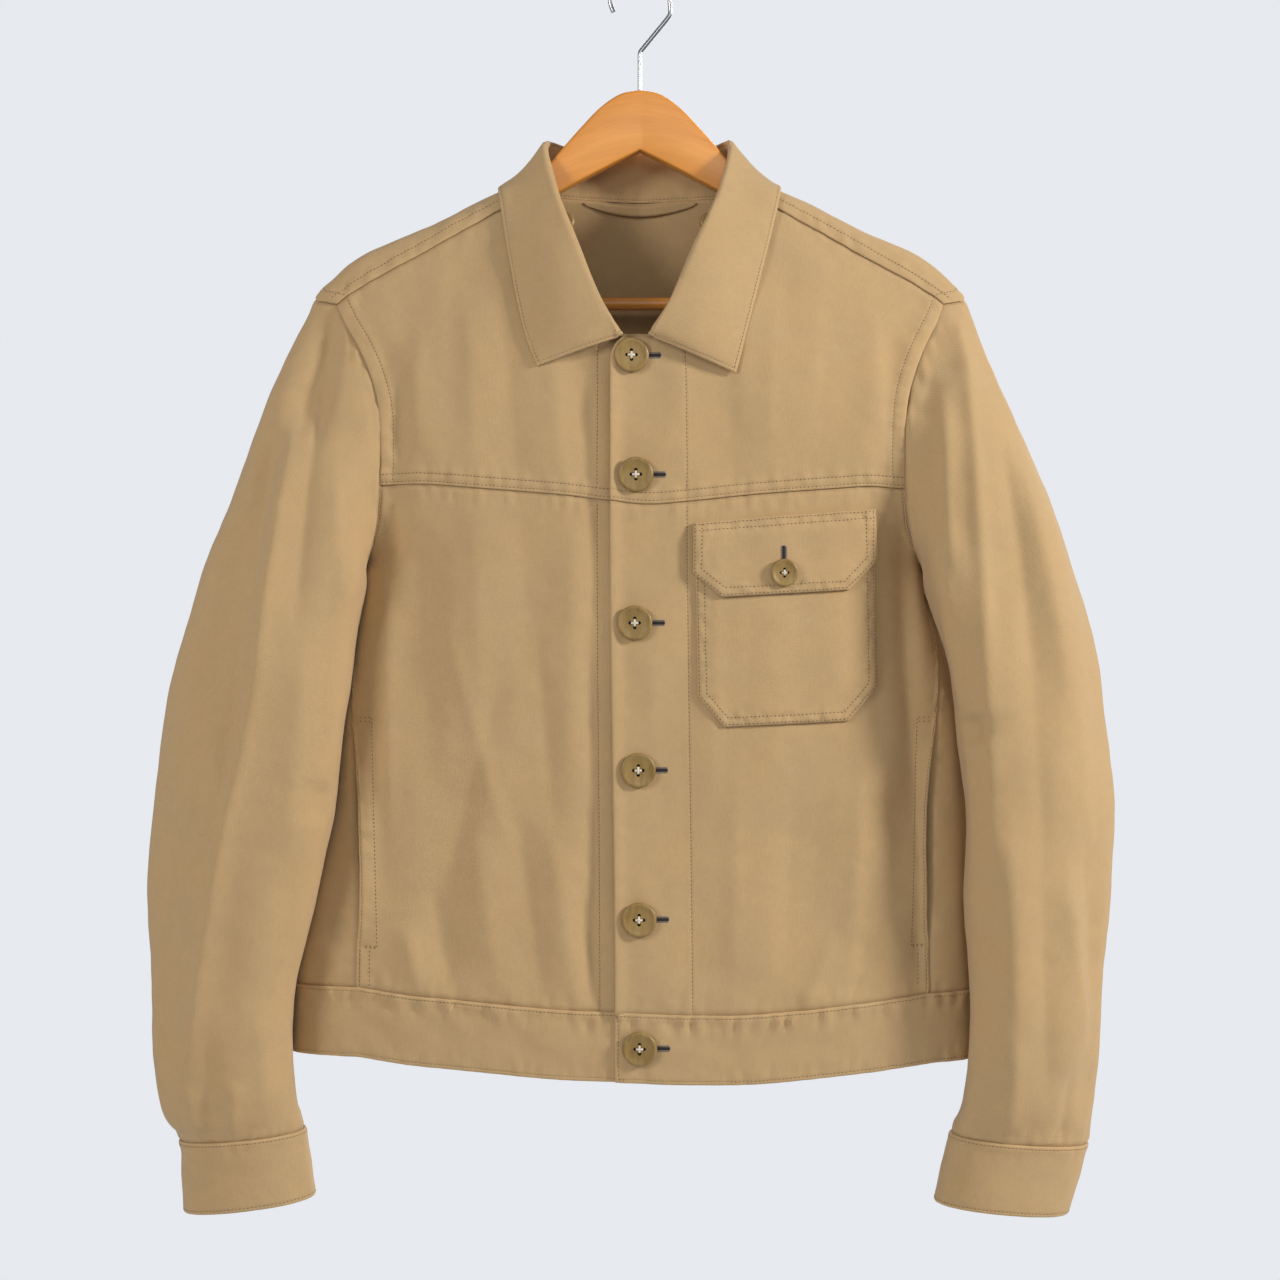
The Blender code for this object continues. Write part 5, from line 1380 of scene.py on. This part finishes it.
def make_waistband():
    patches = []
    start = 0.0
    for function, free in ((lambda u, v: waistband_front(-1, 1 - u, v), "left"),
                           (waistband_back, None),
                           (lambda u, v: waistband_front(1, u, v), "right")):
        columns = 84 if free is None else 40
        ends = {free: FREE} if free else {}
        patch = Patch(point_grid(function, columns, 8), top=OVER, bottom=FREE, **ends, flat_start=start,
                      sections=[(8, BAND_LINES)], gathers=BAND_GATHERS)
        start = patch.flat[0, -1, 0]
        patches.append(patch)
    lines = [(number, name, EDGE_ROW[0], 1) for number in range(3) for name in ("top", "bottom")]
    lines += [(0, "left", EDGE_ROW[0], 3), (2, "right", EDGE_ROW[0], 3)]
    cloth_piece("waistband", patches, DOUBLE_CLOTH, lines)


def make_sleeves():
    for side, hand in SIDES:
        starts, turns, underarm, seam = armhole_ring(side, FINE_RING)
        count = len(starts) - 1

        def ring(row):
            return [sleeve_point(side, start, turn, index / count, row)
                    for index, (start, turn) in enumerate(zip(starts, turns))]

        rings = [ring(row / 4) for row in range(4 * LAST_SLEEVE_SECTION + 1)]
        parts = {"top": list(range(seam, count)) + list(range(underarm + 1)),
                 "under": list(range(underarm, seam + 1))}
        middles = np.array([np.mean(np.array(points), axis=0) for points in rings])
        for part, columns in parts.items():
            coarse = np.array([[points[index] for index in columns] for points in rings])
            kind = OVER if part == "top" else UNDER
            patch = Patch(coarse, top=UNDER, bottom=UNDER, left=kind, right=kind,
                          hint=lambda grid: from_line(grid, middles), drape="sleeve")
            lines = [(0, end, EDGE_ROW[0], 3) for end in ("left", "right")] if part == "top" else []
            cloth_piece(f"sleeve_{part}_{hand}", [patch], BODY_CLOTH, lines)
        make_cuff(hand, ring, count, seam)


def from_line(grid, middles):
    """Outward from a sleeve's middle line, which is given from its top down."""
    middle = [np.interp(-grid[..., 2], -middles[:, 2], middles[:, axis]) for axis in (0, 1)]
    return np.stack([grid[..., 0] - middle[0], grid[..., 1] - middle[1], np.zeros(grid.shape[:2])], axis=-1)


def make_cuff(hand, ring, count, seam):
    """The cuff's strip, from the sleeve's back seam once round and lapping over its start."""
    rows = []
    for row in (0, 0.25, 0.5, 0.75, 1):
        points = ring(LAST_SLEEVE_SECTION + row)
        middle = sum(points[:-1], Vector()) / count
        strip = []
        for step in range(count + CUFF_LAP * RING_SCALE + 1):
            outward = points[(seam + step) % count] - middle
            outward.z = 0
            lap = min(max((step - count + 3 * RING_SCALE) / (3 * RING_SCALE), 0.0), 1.0)
            strip.append(points[(seam + step) % count]
                         + outward.normalized() * (DOUBLE_CLOTH + LAYER_GAP) * lap)
        rows.append(strip)
    coarse = np.array(rows)
    patch = Patch(coarse, top=OVER, bottom=FREE, left=("free", ()), right=FREE, drape="none", loose=0.7,
                  hint=lambda grid: (grid - coarse.mean(axis=(0, 1))) * (1, 1, 0))
    lines = [(0, name, EDGE_ROW[0], 1) for name in ("top", "bottom", "right")]
    cloth_piece(f"cuff_{hand}", [patch], DOUBLE_CLOTH, lines)


def make_collar():
    columns = collar_columns({"neck": 22, "half_back": 16})
    fold_rows = (0.35, 0.365, 0.38, 0.4, 0.42, 0.435, 0.45)
    leaf_rows = fold_rows + tuple(0.45 + 0.55 * step / 12 for step in range(1, 13))
    stand_rows = tuple(0.35 * step / 7 for step in range(8))
    grids = {name: np.array([[collar_point(side, share, seat, v) for side, share, seat in columns]
                             for v in rows])
             for name, rows in (("leaf", leaf_rows), ("stand", stand_rows))}
    leaf = Patch(grids["leaf"], bottom=FREE, left=FREE, right=FREE, drape="none", spacing=1.9, loose=0.55)
    stand = Patch(grids["stand"], top=OVER, drape="none", spacing=2.2, turned=leaf.turned, loose=0.5)
    cloth_piece("collar_leaf", [leaf], DOUBLE_CLOTH,
                [(0, name, EDGE_ROW[0], 1.2) for name in ("bottom", "left", "right")])
    cloth_piece("collar_stand", [stand], BODY_CLOTH, [(0, "top", EDGE_ROW[0], 1)], both_sides=True)


# ------------------------------------------------------------------ what is laid on the cloth
def outline_down(outline, top, bottom, x, height):
    """How far down a pocket piece is at an x and a share of its height; its top and bottom slope."""
    across = (x - outline[0][1]) / (outline[0][2] - outline[0][1])
    return between(between(*top, across), between(*bottom, across), height)


def outline_points(outline, top, bottom):
    """A pocket piece's corners as x and down: down its right side, then up its left one."""
    right = [(x, outline_down(outline, top, bottom, x, height)) for height, _, x in outline]
    left = [(x, outline_down(outline, top, bottom, x, height)) for height, x, _ in outline]
    return right, left[::-1]


def inset(points, distance):
    """A line of x and down moved to its right-hand side, with its corners kept."""
    moved = []
    for number, (x, down) in enumerate(points):
        before = points[max(number - 1, 0)]
        after = points[min(number + 1, len(points) - 1)]
        first = Vector((x - before[0], down - before[1]))
        second = Vector((after[0] - x, after[1] - down))
        first = second.copy() if first.length == 0 else first
        second = first.copy() if second.length == 0 else second
        aside_first, aside_second = (Vector((-run.y, run.x)).normalized() for run in (first, second))
        corner = aside_first + aside_second
        corner *= 2 / corner.length_squared
        moved.append((x + corner.x * distance, down + corner.y * distance))
    return moved


def outline_distance(outline, grid):
    """How far each point of a grid is from a line of x and down."""
    x, down = grid[..., 0], -grid[..., 2]
    nearest = np.full(x.shape, FAR)
    for (x0, down0), (x1, down1) in zip(outline, outline[1:]):
        run_x, run_down = x1 - x0, down1 - down0
        share = np.clip(((x - x0) * run_x + (down - down0) * run_down) / (run_x**2 + run_down**2), 0, 1)
        nearest = np.minimum(nearest, np.hypot(x - x0 - share * run_x, down - down0 - share * run_down))
    return nearest


# How far the middles of the pocket and its flap stand off the middle of the front
PATCH_LIFT = BODY_CLOTH + LAYER_GAP + 0.15
FLAP_FREE_LIFT = PATCH_LIFT + BODY_CLOTH / 2 + LAYER_GAP + 0.1 + DOUBLE_CLOTH / 2
FLAP_SEAM_LIFT = BODY_CLOTH / 2 + LAYER_GAP + 0.2 + DOUBLE_CLOTH / 2


def laid_patch(outline, top, bottom, lift, closed):
    """A pocket piece that lies on the left front and follows its folds."""
    def point(u, v):
        x = between(between_rows(outline, v, 1), between_rows(outline, v, 2), u)
        return above_front(x, outline_down(outline, top, bottom, x, v), 1, lift(v))

    patch = Patch(point_grid(point, 40, 40), hint=to_the_front, spacing=1.5, loose=0.0)
    right, left = outline_points(outline, top, bottom)
    line = right + left + ([right[0]] if closed else [])
    distance = outline_distance(line, patch.plain)
    ripple = noise_at(patch.plain, 6.0, 1) + 0.6 * noise_at(patch.plain, 3.6, 2)
    height = -ROLL * np.exp(-(distance / 0.7) ** 2)
    height += POCKET_PUCKER * ripple * np.exp(-((distance - 4.5) / 5.0) ** 2) * smooth(distance / 2)
    height += POCKET_DIMPLE * noise_at(patch.plain, 20.0, 4) * smooth(distance / 12)
    # painted shade in the pocket's stitch rows
    for row, depth, shade in zip(POCKET_ROWS, (0.8, 0.35), (0.5, 0.2)):
        groove = np.exp(-((distance - row) / 0.75) ** 2)
        height -= GROOVE * groove * depth
        patch.seam = np.maximum(patch.seam, groove * shade)
    patch.wear = np.exp(-((distance - 0.8) / 0.9) ** 2)
    below = drape_height(FRONT_DRAPE, patch.plain[..., 0], -patch.plain[..., 2])
    height += below + wide_waves(patch.plain)
    patch.grid = patch.plain + patch.normals * height[..., None]
    patch.shade_normals, _ = outward_normals(patch.grid, patch.normals)
    return patch, line


def make_pocket():
    patch, line = laid_patch(POCKET_OUTLINE, POCKET_TOP, POCKET_BOTTOM, lambda v: PATCH_LIFT, closed=False)
    cloth_piece("chest_pocket", [patch], BODY_CLOTH)
    for row in POCKET_ROWS:
        stitch_line("chest_pocket", *surface_line("chest_pocket", inset(line, row)))
    flap, line = laid_patch(FLAP_OUTLINE, FLAP_TOP, FLAP_BOTTOM,
                            lambda v: between(FLAP_SEAM_LIFT, FLAP_FREE_LIFT, ease(v / 0.22)), closed=True)
    cloth_piece("chest_flap", [flap], DOUBLE_CLOTH)
    for row in POCKET_ROWS:
        for run in (line[:-1], [line[-2], line[0]]):
            stitch_line("chest_flap", *surface_line("chest_flap", inset(run, row)))


def between_rows(outline, v, column):
    """The value of a column of an outline at a share of its height, straight between its rows."""
    for upper, lower in zip(outline, outline[1:]):
        if v <= lower[0]:
            return between(upper[column], lower[column], (v - upper[0]) / (lower[0] - upper[0]))
    return outline[-1][column]


def make_facings():
    """The strip behind each side pocket's mouth, inside the body."""
    for side, hand in SIDES:
        def point(u, v):
            down = between(*FACING_DOWN, v)
            turn = turn_at(side_seam_x(side, down), down, on_back=False)
            turn += between(-1, 1, u) * FACING_HALF_TURN
            normal = normal_at(lambda a, b: around_point(a / 100, b), turn * 100, down)
            surface = around_point(turn, down)
            if normal.dot(surface - Vector((0, 0, -down))) > 0:
                normal.negate()
            return surface + normal * (BODY_CLOTH + LAYER_GAP + FACING_SLACK)

        cloth_piece(f"pocket_facing_{hand}", [Patch(point_grid(point, 12, 40))], BODY_CLOTH)


def make_loop():
    """The hanging loop inside the back neck, sewn down at its ends."""
    inside = BODY_CLOTH / 2 + LAYER_GAP + LOOP_THICKNESS / 2

    def point(u, v):
        x = between(-LOOP_HALF_LENGTH, LOOP_HALF_LENGTH, u)
        arc = math.sin(math.pi * u) ** 0.7
        top, bottom = max(arc * 1.3 - 0.7, 0) * LOOP_SAG, arc * (LOOP_SAG * 0.6 + LOOP_HEIGHT)
        down = NECK_BACK_DOWN + 1 + between(top, bottom + 0.6, v)
        away = 1.3 * math.sin(math.pi * u)
        return back_point(x, down) - Vector((0, inside * 1.25 + away, 0))

    patch = Patch(point_grid(point, 30, 6), hint=to_the_front, spacing=1.5, drape="none", loose=0.3)
    cloth_piece("hanging_loop", [patch], LOOP_THICKNESS)


def make_pocket_stitches():
    """Tacks and welt stitching round the side pockets' mouths, on the fronts."""
    for side, hand in SIDES:
        name = f"front_{hand}"
        top, bottom = FACING_DOWN
        seam_x = [side_seam_x(side, down) for down in (top, bottom)]
        inner = [x - side * WELT_ROW for x in seam_x]
        start = [x - side * (MOUTH_PULL + 1.0) for x in seam_x]
        hem_x = side_seam_x(side, BELOW_MOUTH_END)
        lines = [[(inner[0], top - 5), (inner[1], bottom + 4)]]
        lines += [[(start[0], top - gap), (inner[0], top - gap)] for gap in (2.0, 5.0)]
        lines += [[(start[1], bottom + gap), (inner[1], bottom + gap)] for gap in (3.0, 4.0)]
        below = ((seam_x[1], bottom + 5), (hem_x, BELOW_MOUTH_END))
        lines += [[(x - side * gap, down) for x, down in below] for gap in BELOW_MOUTH_ROWS]
        for line in lines:
            stitch_line(name, *surface_line(name, line))


# ------------------------------------------------------------------ buttons and buttonholes
def button_mesh(radius):
    """A turned button, its back at 0: raised rim and dished middle, its holes not yet cut."""
    rim = BUTTON_THICKNESS
    profile = ((0, 0), (radius * 0.8, 0), (radius * 0.93, rim * 0.2), (radius * 0.99, rim * 0.5),
               (radius * 0.97, rim * 0.8), (radius * 0.92, rim * 0.96), (radius * 0.86, rim),
               (radius * 0.80, rim * 0.96), (radius * 0.70, rim * 0.84), (radius * 0.6, rim * 0.78),
               (radius * 0.35, rim * 0.72), (0, rim * BUTTON_DISH))
    mesh = bmesh.new()
    verts = [mesh.verts.new((across, 0, height)) for across, height in profile]
    edges = [mesh.edges.new(pair) for pair in zip(verts, verts[1:])]
    bmesh.ops.spin(mesh, geom=verts + edges, cent=(0, 0, 0), axis=(0, 0, 1), dvec=(0, 0, 0),
                   angle=2 * math.pi, steps=56, use_merge=True)
    bmesh.ops.remove_doubles(mesh, verts=mesh.verts, dist=MERGE)
    bmesh.ops.recalc_face_normals(mesh, faces=mesh.faces)
    return mesh


def hole_way(number):
    """Which way one of the four holes lies from the button's middle."""
    angle = math.pi / 2 * number
    return Vector((math.cos(angle), math.sin(angle), 0))


def holed_button(radius):
    """The button's mesh data with its four holes cut through."""
    whole = link(bpy.data.objects.new("button_shape", mesh_data("button_shape", button_mesh(radius))))
    drill = bmesh.new()
    scale = radius / BUTTON_RADIUS
    for number in range(4):
        place = hole_way(number) * HOLE_OFFSET * scale
        bmesh.ops.create_cone(drill, cap_ends=True, segments=16, radius1=HOLE_RADIUS * scale,
                              radius2=HOLE_RADIUS * scale, depth=12, matrix=Matrix.Translation(place))
    cutter = link(bpy.data.objects.new("drill", mesh_data("drill", drill)))
    cut = whole.modifiers.new("holes", "BOOLEAN")
    cut.object = cutter
    shaped = finished_mesh(whole)
    for thing in (whole, cutter):
        bpy.data.objects.remove(thing)
    return shaped


def place_button(node, shape, radius, seat, outward):
    """A button on the cloth, the crossed threads that hold it, and painted shade at the bottom of its holes.
    """
    name = f"{node}_shown"
    matrix = Matrix.Translation(seat) @ outward.to_track_quat("Z", "Y").to_matrix().to_4x4()
    mesh = bmesh.new()
    mesh.from_mesh(shape)
    bmesh.ops.transform(mesh, matrix=matrix, verts=mesh.verts)
    bmesh.ops.recalc_face_normals(mesh, faces=mesh.faces)
    to_object(name, mesh, horn, node=node)
    scale = radius / BUTTON_RADIUS
    height = BUTTON_THICKNESS * (BUTTON_DISH + 0.02)
    cross, hole_shades = bmesh.new(), bmesh.new()
    for number in range(4):
        along = hole_way(number)
        aside = Vector((-along.y, along.x, 0))
        for strand in (-1, 0, 1):
            for step in range(STRAND_BEADS + 1):
                share = step / STRAND_BEADS
                reach = (HOLE_OFFSET - HOLE_RADIUS * 0.55) * scale * share
                rise = 0.5 * (1 - share**4) + 0.25 * (number % 2) * (1 - share) - 1.2 * share**8
                place = along * reach + aside * strand * STRAND_GAP * scale + Vector((0, 0, height + rise))
                bmesh.ops.create_icosphere(cross, subdivisions=1, radius=0.26 * scale + 0.06,
                                           matrix=matrix @ Matrix.Translation(place))
        # a flat near-black disc at each hole's bottom: painted shade
        bottom = Matrix.Translation(along * HOLE_OFFSET * scale + Vector((0, 0, 0.25)))
        bmesh.ops.create_icosphere(hole_shades, subdivisions=2, radius=HOLE_RADIUS * 0.94 * scale,
                                   matrix=matrix @ bottom @ Matrix.Diagonal((1, 1, 0.25, 1)))
    to_object(name.replace("button", "button_thread"), cross, pale_thread)
    to_object(name.replace("button", "button_hole_shade"), hole_shades, painted_shade)


def seat_on(name, x, down):
    """Where a button sits on a piece: the place on its face, and which way is out."""
    tree = built[name]["tree"]
    normal = Vector()
    for aside, lower in ((0, 0), (-5, 0), (5, 0), (0, -5), (0, 5)):
        hit, hit_normal, _, _ = tree.ray_cast(Vector((x + aside, -220, -down - lower)), Vector((0, 1, 0)))
        if hit is None:
            continue
        normal += hit_normal if hit_normal.y < 0 else -hit_normal
        if aside == 0 and lower == 0:
            place = hit
    return place + normal.normalized() * (built[name]["thickness"] / 2), normal.normalized()


def make_buttons():
    shapes = {radius: holed_button(radius) for radius in (BUTTON_RADIUS, SMALL_RADIUS, NECK_BUTTON_RADIUS)}
    for number, (x, down, carrier) in enumerate(zip(BUTTON_XS, BUTTON_DOWNS, CARRIERS), start=1):
        place, outward = seat_on(carrier, x, down)
        place_button(f"button_front_{number}", shapes[BUTTON_RADIUS], BUTTON_RADIUS,
                     place + outward * BUTTON_GAP, outward)
        make_buttonhole(f"buttonhole_{number}", carrier,
                        (x + BUTTONHOLE_FROM, down), (x + BUTTONHOLE_TO, down))
    place, outward = seat_on("chest_flap", *POCKET_BUTTON)
    place_button("button_pocket", shapes[SMALL_RADIUS], SMALL_RADIUS, place + outward * BUTTON_GAP, outward)
    x, down = POCKET_BUTTON
    make_buttonhole("buttonhole_pocket", "chest_flap",
                    (x, down - POCKET_HOLE_FROM), (x, down - POCKET_HOLE_TO))
    for _, hand in SIDES:
        small_ones = ((f"button_cuff_{hand}", SMALL_RADIUS), (f"button_neck_{hand}", NECK_BUTTON_RADIUS))
        for node, radius in small_ones:
            seat, outward = packed_seat(node)
            place_button(node, shapes[radius], radius, seat, outward)


def packed_seat(node):
    """The middle of a packed button's back and the way that it faces, from its own mesh."""
    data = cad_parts[node].data
    places = np.array([vert.co for vert in data.vertices]) / MM
    middle = places.mean(axis=0)
    _, _, ways = np.linalg.svd(places - middle)
    way = Vector(ways[2])
    heights = (places - middle) @ np.array(way)
    across = np.linalg.norm((places - middle) - np.outer(heights, np.array(way)), axis=1)
    widest = heights[across > across.max() - 0.2].mean()
    if widest > (heights.max() + heights.min()) / 2:
        way.negate()
        heights = -heights
    return Vector(middle) + way * heights.min(), way


def make_buttonhole(name, carrier, start, end):
    """A worked buttonhole: two rows of close stitches with a bar at their end, and a flat near-black bead
    between the rows as painted shade in the cut.
    """
    places, outwards = surface_line(carrier, [start, end], step=0.5)
    mesh, slit_shadow = bmesh.new(), bmesh.new()
    lift = built[carrier]["thickness"] / 2
    run = Vector(places[-1] - places[0]).normalized()
    for place, outward in zip(places, outwards):
        outward = Vector(outward)
        aside = outward.cross(run).normalized()
        base = Vector(place) + outward * lift
        for way in (-1, 1):
            add_bead(mesh, base + aside * way * HOLE_STITCH_ASIDE + outward * 0.05, aside, outward,
                     HOLE_STITCH_LENGTH, HOLE_STITCH_RADIUS)
        # a flat near-black bead along the cut: painted shade
        add_bead(slit_shadow, base + outward * 0.12, run, outward, 1.8, 1.25, flatten=0.35)
    outward = Vector(outwards[-1])
    last = Vector(places[-1]) + outward * lift
    aside = outward.cross(run).normalized()
    for step in range(BAR_STITCHES):
        place = last + aside * (step - BAR_STITCHES // 2) * 0.5 + run * 0.25
        add_bead(mesh, place + outward * 0.12, run, outward, 1.5, 0.3)
    to_object(name, mesh, grey_thread)
    to_object(f"{name}_slit", slit_shadow, painted_shade)


# ------------------------------------------------------------------ hanger
def round_edges(mesh, edges, offset, segments, clamp=True):
    bmesh.ops.bevel(mesh, geom=edges, offset=offset, affect="EDGES", segments=segments, profile=0.5,
                    material=-1, clamp_overlap=clamp)


def make_wood():
    """The hanger's body: its front outline as a board, with its edges rounded."""
    mesh = bmesh.new()
    last_x = WOOD_TOP[-1][0]
    columns = 96
    made = bmesh.ops.create_grid(mesh, x_segments=2 * columns, y_segments=1, size=1)
    for number, vert in enumerate(made["verts"]):
        row, step = divmod(number, 2 * columns + 1)
        x = last_x * (step - columns) / columns
        down = follow(WOOD_TOP if row else WOOD_BOTTOM, abs(x))
        vert.co = (x, -WOOD_THICKNESS / 2, -down)
    grown = bmesh.ops.extrude_face_region(mesh, geom=mesh.faces[:], use_keep_orig=True)
    moved = [item for item in grown["geom"] if isinstance(item, bmesh.types.BMVert)]
    bmesh.ops.translate(mesh, vec=(0, WOOD_THICKNESS, 0), verts=moved)
    bmesh.ops.recalc_face_normals(mesh, faces=mesh.faces)
    rim = [edge for edge in mesh.edges if edge.calc_face_angle(0) > math.radians(45)
           and abs(edge.verts[0].co.y - edge.verts[1].co.y) < 1]
    top = [edge for edge in rim if edge.verts[0].co.z > -follow(WOOD_BOTTOM, abs(edge.verts[0].co.x)) + 2]
    low = [edge for edge in rim if edge not in top]
    round_edges(mesh, top, WOOD_ROUNDING, 7)
    round_edges(mesh, [edge for edge in low if edge.is_valid], WOOD_EASED_EDGE, 3)
    to_object("hanger_body", mesh, wood, node="hanger_wood")


def make_bar():
    """The trouser bar, a round rod between the hanger's arms."""
    mesh = bmesh.new()
    turn = Matrix.Translation((0, 0, -BAR_DOWN)) @ Matrix.Rotation(math.pi / 2, 4, "Y")
    bmesh.ops.create_cone(mesh, cap_ends=True, segments=40, radius1=BAR_RADIUS, radius2=BAR_RADIUS,
                          depth=2 * BAR_HALF_LENGTH, matrix=turn)
    rim = [edge for edge in mesh.edges if edge.calc_face_angle(0) > math.radians(60)]
    round_edges(mesh, rim, BAR_EASED_EDGE, 3, clamp=False)
    to_object("hanger_rail", mesh, wood, node="hanger_bar")


def make_hook():
    """The hook's wire, a round tube drawn along its path."""
    centre_down = HOOK_RADIUS - WIRE_RADIUS
    path = [(0, -down) for down in STEM_DOWNS]
    start = Vector((HOOK_BEND_X, -HOOK_BEND_DOWN))
    end = Vector((HOOK_RADIUS, -centre_down - HOOK_SLANT_UP))
    path += [tuple(start.lerp(end, share / 6)) for share in range(7)]
    path.append((HOOK_RADIUS + 0.6, -centre_down - 9.0))
    for angle in range(*HOOK_TURN):
        turn = math.radians(angle)
        path.append((HOOK_RADIUS * math.cos(turn), HOOK_RADIUS * math.sin(turn) - centre_down))
    curve = bpy.data.curves.new("hook_path", "CURVE")
    curve.dimensions = "3D"
    curve.bevel_depth = WIRE_RADIUS
    curve.bevel_resolution = 5
    curve.resolution_u = 4
    curve.use_fill_caps = True
    spline = curve.splines.new("NURBS")
    spline.points.add(len(path) - 1)
    for point, (x, z) in zip(spline.points, path):
        point.co = (x, 0, z, 1)
    spline.use_endpoint_u = True
    spline.order_u = 4
    drawn = link(bpy.data.objects.new("hook_path", curve))
    data = finished_mesh(drawn)
    bpy.data.objects.remove(drawn)
    mesh = bmesh.new()
    mesh.from_mesh(data)
    bmesh.ops.remove_doubles(mesh, verts=mesh.verts, dist=MERGE)
    bmesh.ops.recalc_face_normals(mesh, faces=mesh.faces)
    to_object("hook_wire", mesh, chrome, node="hanger_hook")


# ------------------------------------------------------------------ camera, light and floor
CAMERA_PLACE = (0.0, -1.5, -0.469)
CAMERA_LENS = 60.27
FLOOR_DOWN = 1.55
FLOOR_RADIUS = 1.3
BACKDROP_COLOUR = (0.80, 0.82, 0.86, 1.0)
ROOM_COLOUR = (0.95, 0.96, 1.0, 1.0)
ROOM_LIGHT = 0.28
LIGHTS_AIM = (0, 0, -0.5)
LIGHTS = {                # where each one stands, its width, its power and its colour
    "key": ((2.15, -0.85, 0.4), 0.45, 54.0, (1.0, 0.965, 0.90)),
    "fill": ((-1.8, -1.6, 0.3), 0.8, 23.5, (1.0, 0.97, 0.92)),
    "front": ((0.2, -2.2, 0.3), 0.8, 6.0, (1.0, 0.97, 0.92)),
    "back": ((0.6, 2.2, 0.6), 1.6, 34.0, (1.0, 0.99, 0.97))}


def add_light(name, place, size, energy, colour):
    data = bpy.data.lights.new(name, "AREA")
    data.shape = "DISK"
    data.size = size
    data.energy = energy
    data.color = colour
    lamp = bpy.data.objects.new(name, data)
    lamp.location = place
    lamp.rotation_mode = "QUATERNION"
    lamp.rotation_quaternion = (Vector(LIGHTS_AIM) - Vector(place)).to_track_quat("-Z", "Y")
    link(lamp)


def make_studio():
    data = bpy.data.cameras.new("camera")
    data.sensor_width = 36.0
    data.lens = CAMERA_LENS
    camera = bpy.data.objects.new("camera", data)
    camera.location = CAMERA_PLACE
    camera.rotation_euler = (math.pi / 2, 0, 0)
    bpy.context.scene.camera = link(camera)

    world = bpy.data.worlds.new("pale_room")
    world.use_nodes = True
    nodes, links = world.node_tree.nodes, world.node_tree.links
    seen = nodes["Background"]
    seen.inputs["Color"].default_value = BACKDROP_COLOUR
    lit = nodes.new("ShaderNodeBackground")
    lit.inputs["Color"].default_value = ROOM_COLOUR
    lit.inputs["Strength"].default_value = ROOM_LIGHT
    path = nodes.new("ShaderNodeLightPath")
    either = nodes.new("ShaderNodeMixShader")
    links.new(path.outputs["Is Camera Ray"], either.inputs[0])
    links.new(lit.outputs[0], either.inputs[1])
    links.new(seen.outputs[0], either.inputs[2])
    links.new(either.outputs[0], nodes["World Output"].inputs["Surface"])
    bpy.context.scene.world = world
    bpy.context.scene.view_settings.view_transform = "Standard"

    for name, (place, size, energy, colour) in LIGHTS.items():
        add_light(name, place, size, energy, colour)

    floor = bmesh.new()
    bmesh.ops.create_circle(floor, cap_ends=True, segments=96, radius=FLOOR_RADIUS,
                            matrix=Matrix.Translation((0, 0, -FLOOR_DOWN)))
    floor_data = mesh_data("floor", floor)
    floor_data.materials.append(make_floor_finish())
    link(bpy.data.objects.new("floor", floor_data))


def declare_sheets():
    """Gathers the thread object of each cloth piece, and does nothing more with it."""
    for name, facts in built.items():
        others = [facts["threads"]] if "threads" in facts else []


make_studio()
make_yokes()
make_fronts()
make_back()
make_waistband()
make_sleeves()
make_collar()
make_pocket()
make_facings()
make_loop()
make_pocket_stitches()
make_buttons()
make_threads()
make_wood()
make_bar()
make_hook()
declare_sheets()
